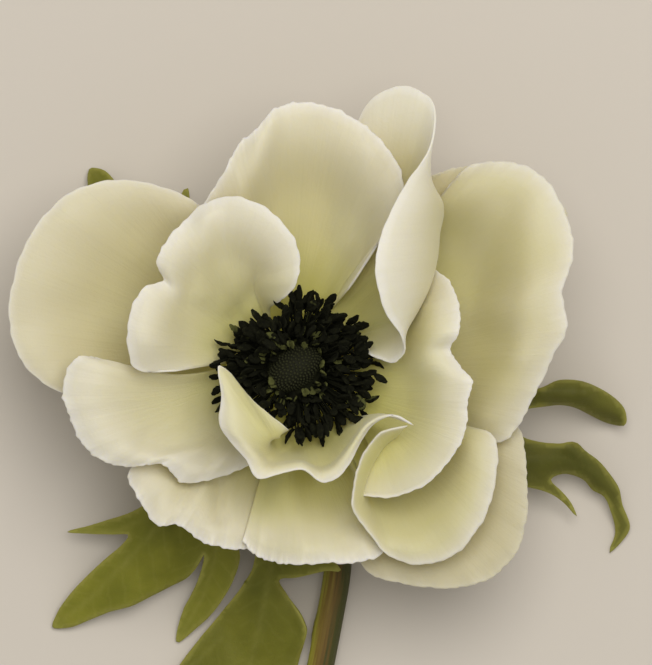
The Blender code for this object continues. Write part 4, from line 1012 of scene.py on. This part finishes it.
def whorl_mesh(number, whorl):
    """One whorl of stamens as a single piece, spread evenly and then jittered."""
    draw = random.Random(70 + number)
    points, faces, chance, is_anther = [], [], [], []
    for k in range(whorl["count"]):
        angle = 360 * (k + draw.uniform(-0.35, 0.35)) / whorl["count"] + WHORL_TURN * number
        reach = draw.uniform(*whorl["reach"]) * np.interp(angle % 360, *zip(*SPREAD))
        if any(low < angle % 360 < high and near < reach for low, high, near in WALLS):
            continue
        turn = math.radians(angle)
        out = np.array([math.cos(turn), math.sin(turn), 0])
        low, high, drop = LOWER_SIDE
        height = draw.uniform(*whorl["height"]) - (drop if low < angle % 360 < high else 0)
        lean = math.radians(draw.uniform(*whorl["lean"]))
        sideways = np.array([-out[1], out[0], 0]) * draw.uniform(-0.75, 0.75)
        ahead = out * math.sin(lean) + np.array([0, 0, math.cos(lean)]) + sideways
        long = draw.uniform(*whorl["long"])
        neck = out * (reach - long * math.sin(lean) * 0.5) + (0, 0, height)
        foot = out * FOOT_REACH + (0, 0, FOOT_HEIGHT - number * FOOT_DROP)
        bends = (foot + out * 0.9 + (0, 0, 2), (foot + neck) / 2 + (0, 0, 1.4))
        filament, filament_faces = filament_mesh(smooth_line([foot, *bends, neck], FILAMENT_RINGS))
        gather(points, faces, filament, filament_faces)
        anther, anther_faces = anther_mesh(long, draw)
        base = neck - ahead / np.linalg.norm(ahead) * ANTHER_SUNK
        gather(points, faces, stand(anther, base, ahead, draw.uniform(-1.2, 1.2)), anther_faces)
        chance.extend([0.5] * len(filament) + [draw.random()] * len(anther))
        is_anther.extend([0.0] * len(filament) + [1.0] * len(anther))
    points = np.array(points) + (0, 0, SEAT)
    values = {"anther": is_anther, "chance": chance}
    return add_mesh("stamens_whorl_%d" % (number + 1), points, faces, None, values)


for number, whorl in enumerate(WHORLS):
    stamen_look = Look("stamen_%d" % (number + 1), 0.85, Specular_IOR_Level=0.12)
    dust = stamen_look.noise(stamen_look.place("Object"), Scale=1500.0, Detail=4.0, Roughness=0.7)
    patch = stamen_look.noise(stamen_look.place("Object"), Scale=420.0, Detail=2.0)
    black = stamen_look.ramp(
        dust, (0.3, (0.003, 0.003, 0.0012)), (0.58, (0.008, 0.0085, 0.003)), (0.78, (0.028, 0.029, 0.009)),
    )
    olive = stamen_look.sway(stamen_look.value("chance"), patch, 0.5, 0.9)
    olive = stamen_look.rescale(olive, 1.02 - whorl["olive"], 1.1 - whorl["olive"], 0.0, 1.0)
    black = stamen_look.mix(olive, black, (0.095, 0.1, 0.03))
    both = stamen_look.mix(stamen_look.value("anther"), (0.006, 0.0065, 0.002), black)
    stamen_look.link(both, "Base Color")
    stamen_look.bump((dust, 0.00025, 0.8))
    stamens = whorl_mesh(number, whorl)
    stamens.data.materials.append(stamen_look.material)
    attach(stamens, "root")
    if whorl["cad"]:
        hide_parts(*["stamen_%02d" % k for k in whorl["cad"]])

# ---- Floor, light and camera ------------------------------------------------------------------------
# A plain pale floor under soft studio light from overhead, a little to the top right, and a long lens
# that looks straight down on the bloom.

FLOOR_SIZE = 6.0
FLOOR_COLOUR = (0.62, 0.57, 0.50)
WORLD_COLOUR, WORLD_STRENGTH = (1.0, 0.985, 0.96), 0.47
LIGHT_COLOUR, LIGHT_POWER = (1.0, 0.975, 0.93), 4.1
LIGHT_SIZE, LIGHT_FROM = 0.6, (0.10, 0.22, 0.75)
LENS, SENSOR = 600.0, 36.0
# The view is this tall at the height of the highest rims, and its middle is this far from the axis
FRAME_TALL, RIM_LEVEL = 106.4, 31.0
LOOK_AT = (5.0, 5.7)

bpy.ops.mesh.primitive_plane_add(size=FLOOR_SIZE, location=(0, 0, 0))
floor = bpy.context.object
floor_look = Look("studio_floor", 0.75, Base_Color=(*FLOOR_COLOUR, 1))
floor.data.materials.append(floor_look.material)

scene = bpy.context.scene
scene.view_settings.view_transform = "Standard"
world = bpy.data.worlds.new("studio")
world.use_nodes = True
background = world.node_tree.nodes["Background"]
background.inputs["Color"].default_value = (*WORLD_COLOUR, 1)
background.inputs["Strength"].default_value = WORLD_STRENGTH
scene.world = world

middle = Vector((*((AXIS[:2] + LOOK_AT) * MM), RIM_LEVEL * MM))
light = bpy.data.lights.new("overhead", "AREA")
light.shape = "DISK"
light.size = LIGHT_SIZE
light.energy = LIGHT_POWER
light.color = LIGHT_COLOUR
lamp = bpy.data.objects.new("overhead", light)
lamp.location = middle + Vector(LIGHT_FROM)
lamp.rotation_euler = (middle - lamp.location).to_track_quat("-Z", "Y").to_euler()
scene.collection.objects.link(lamp)

camera = bpy.data.cameras.new("camera")
camera.lens = LENS
camera.sensor_width = SENSOR
camera.clip_start, camera.clip_end = 0.01, 20.0
eye = bpy.data.objects.new("camera", camera)
eye.location = middle + Vector((0, 0, FRAME_TALL * MM * LENS / SENSOR))
scene.collection.objects.link(eye)
scene.camera = eye
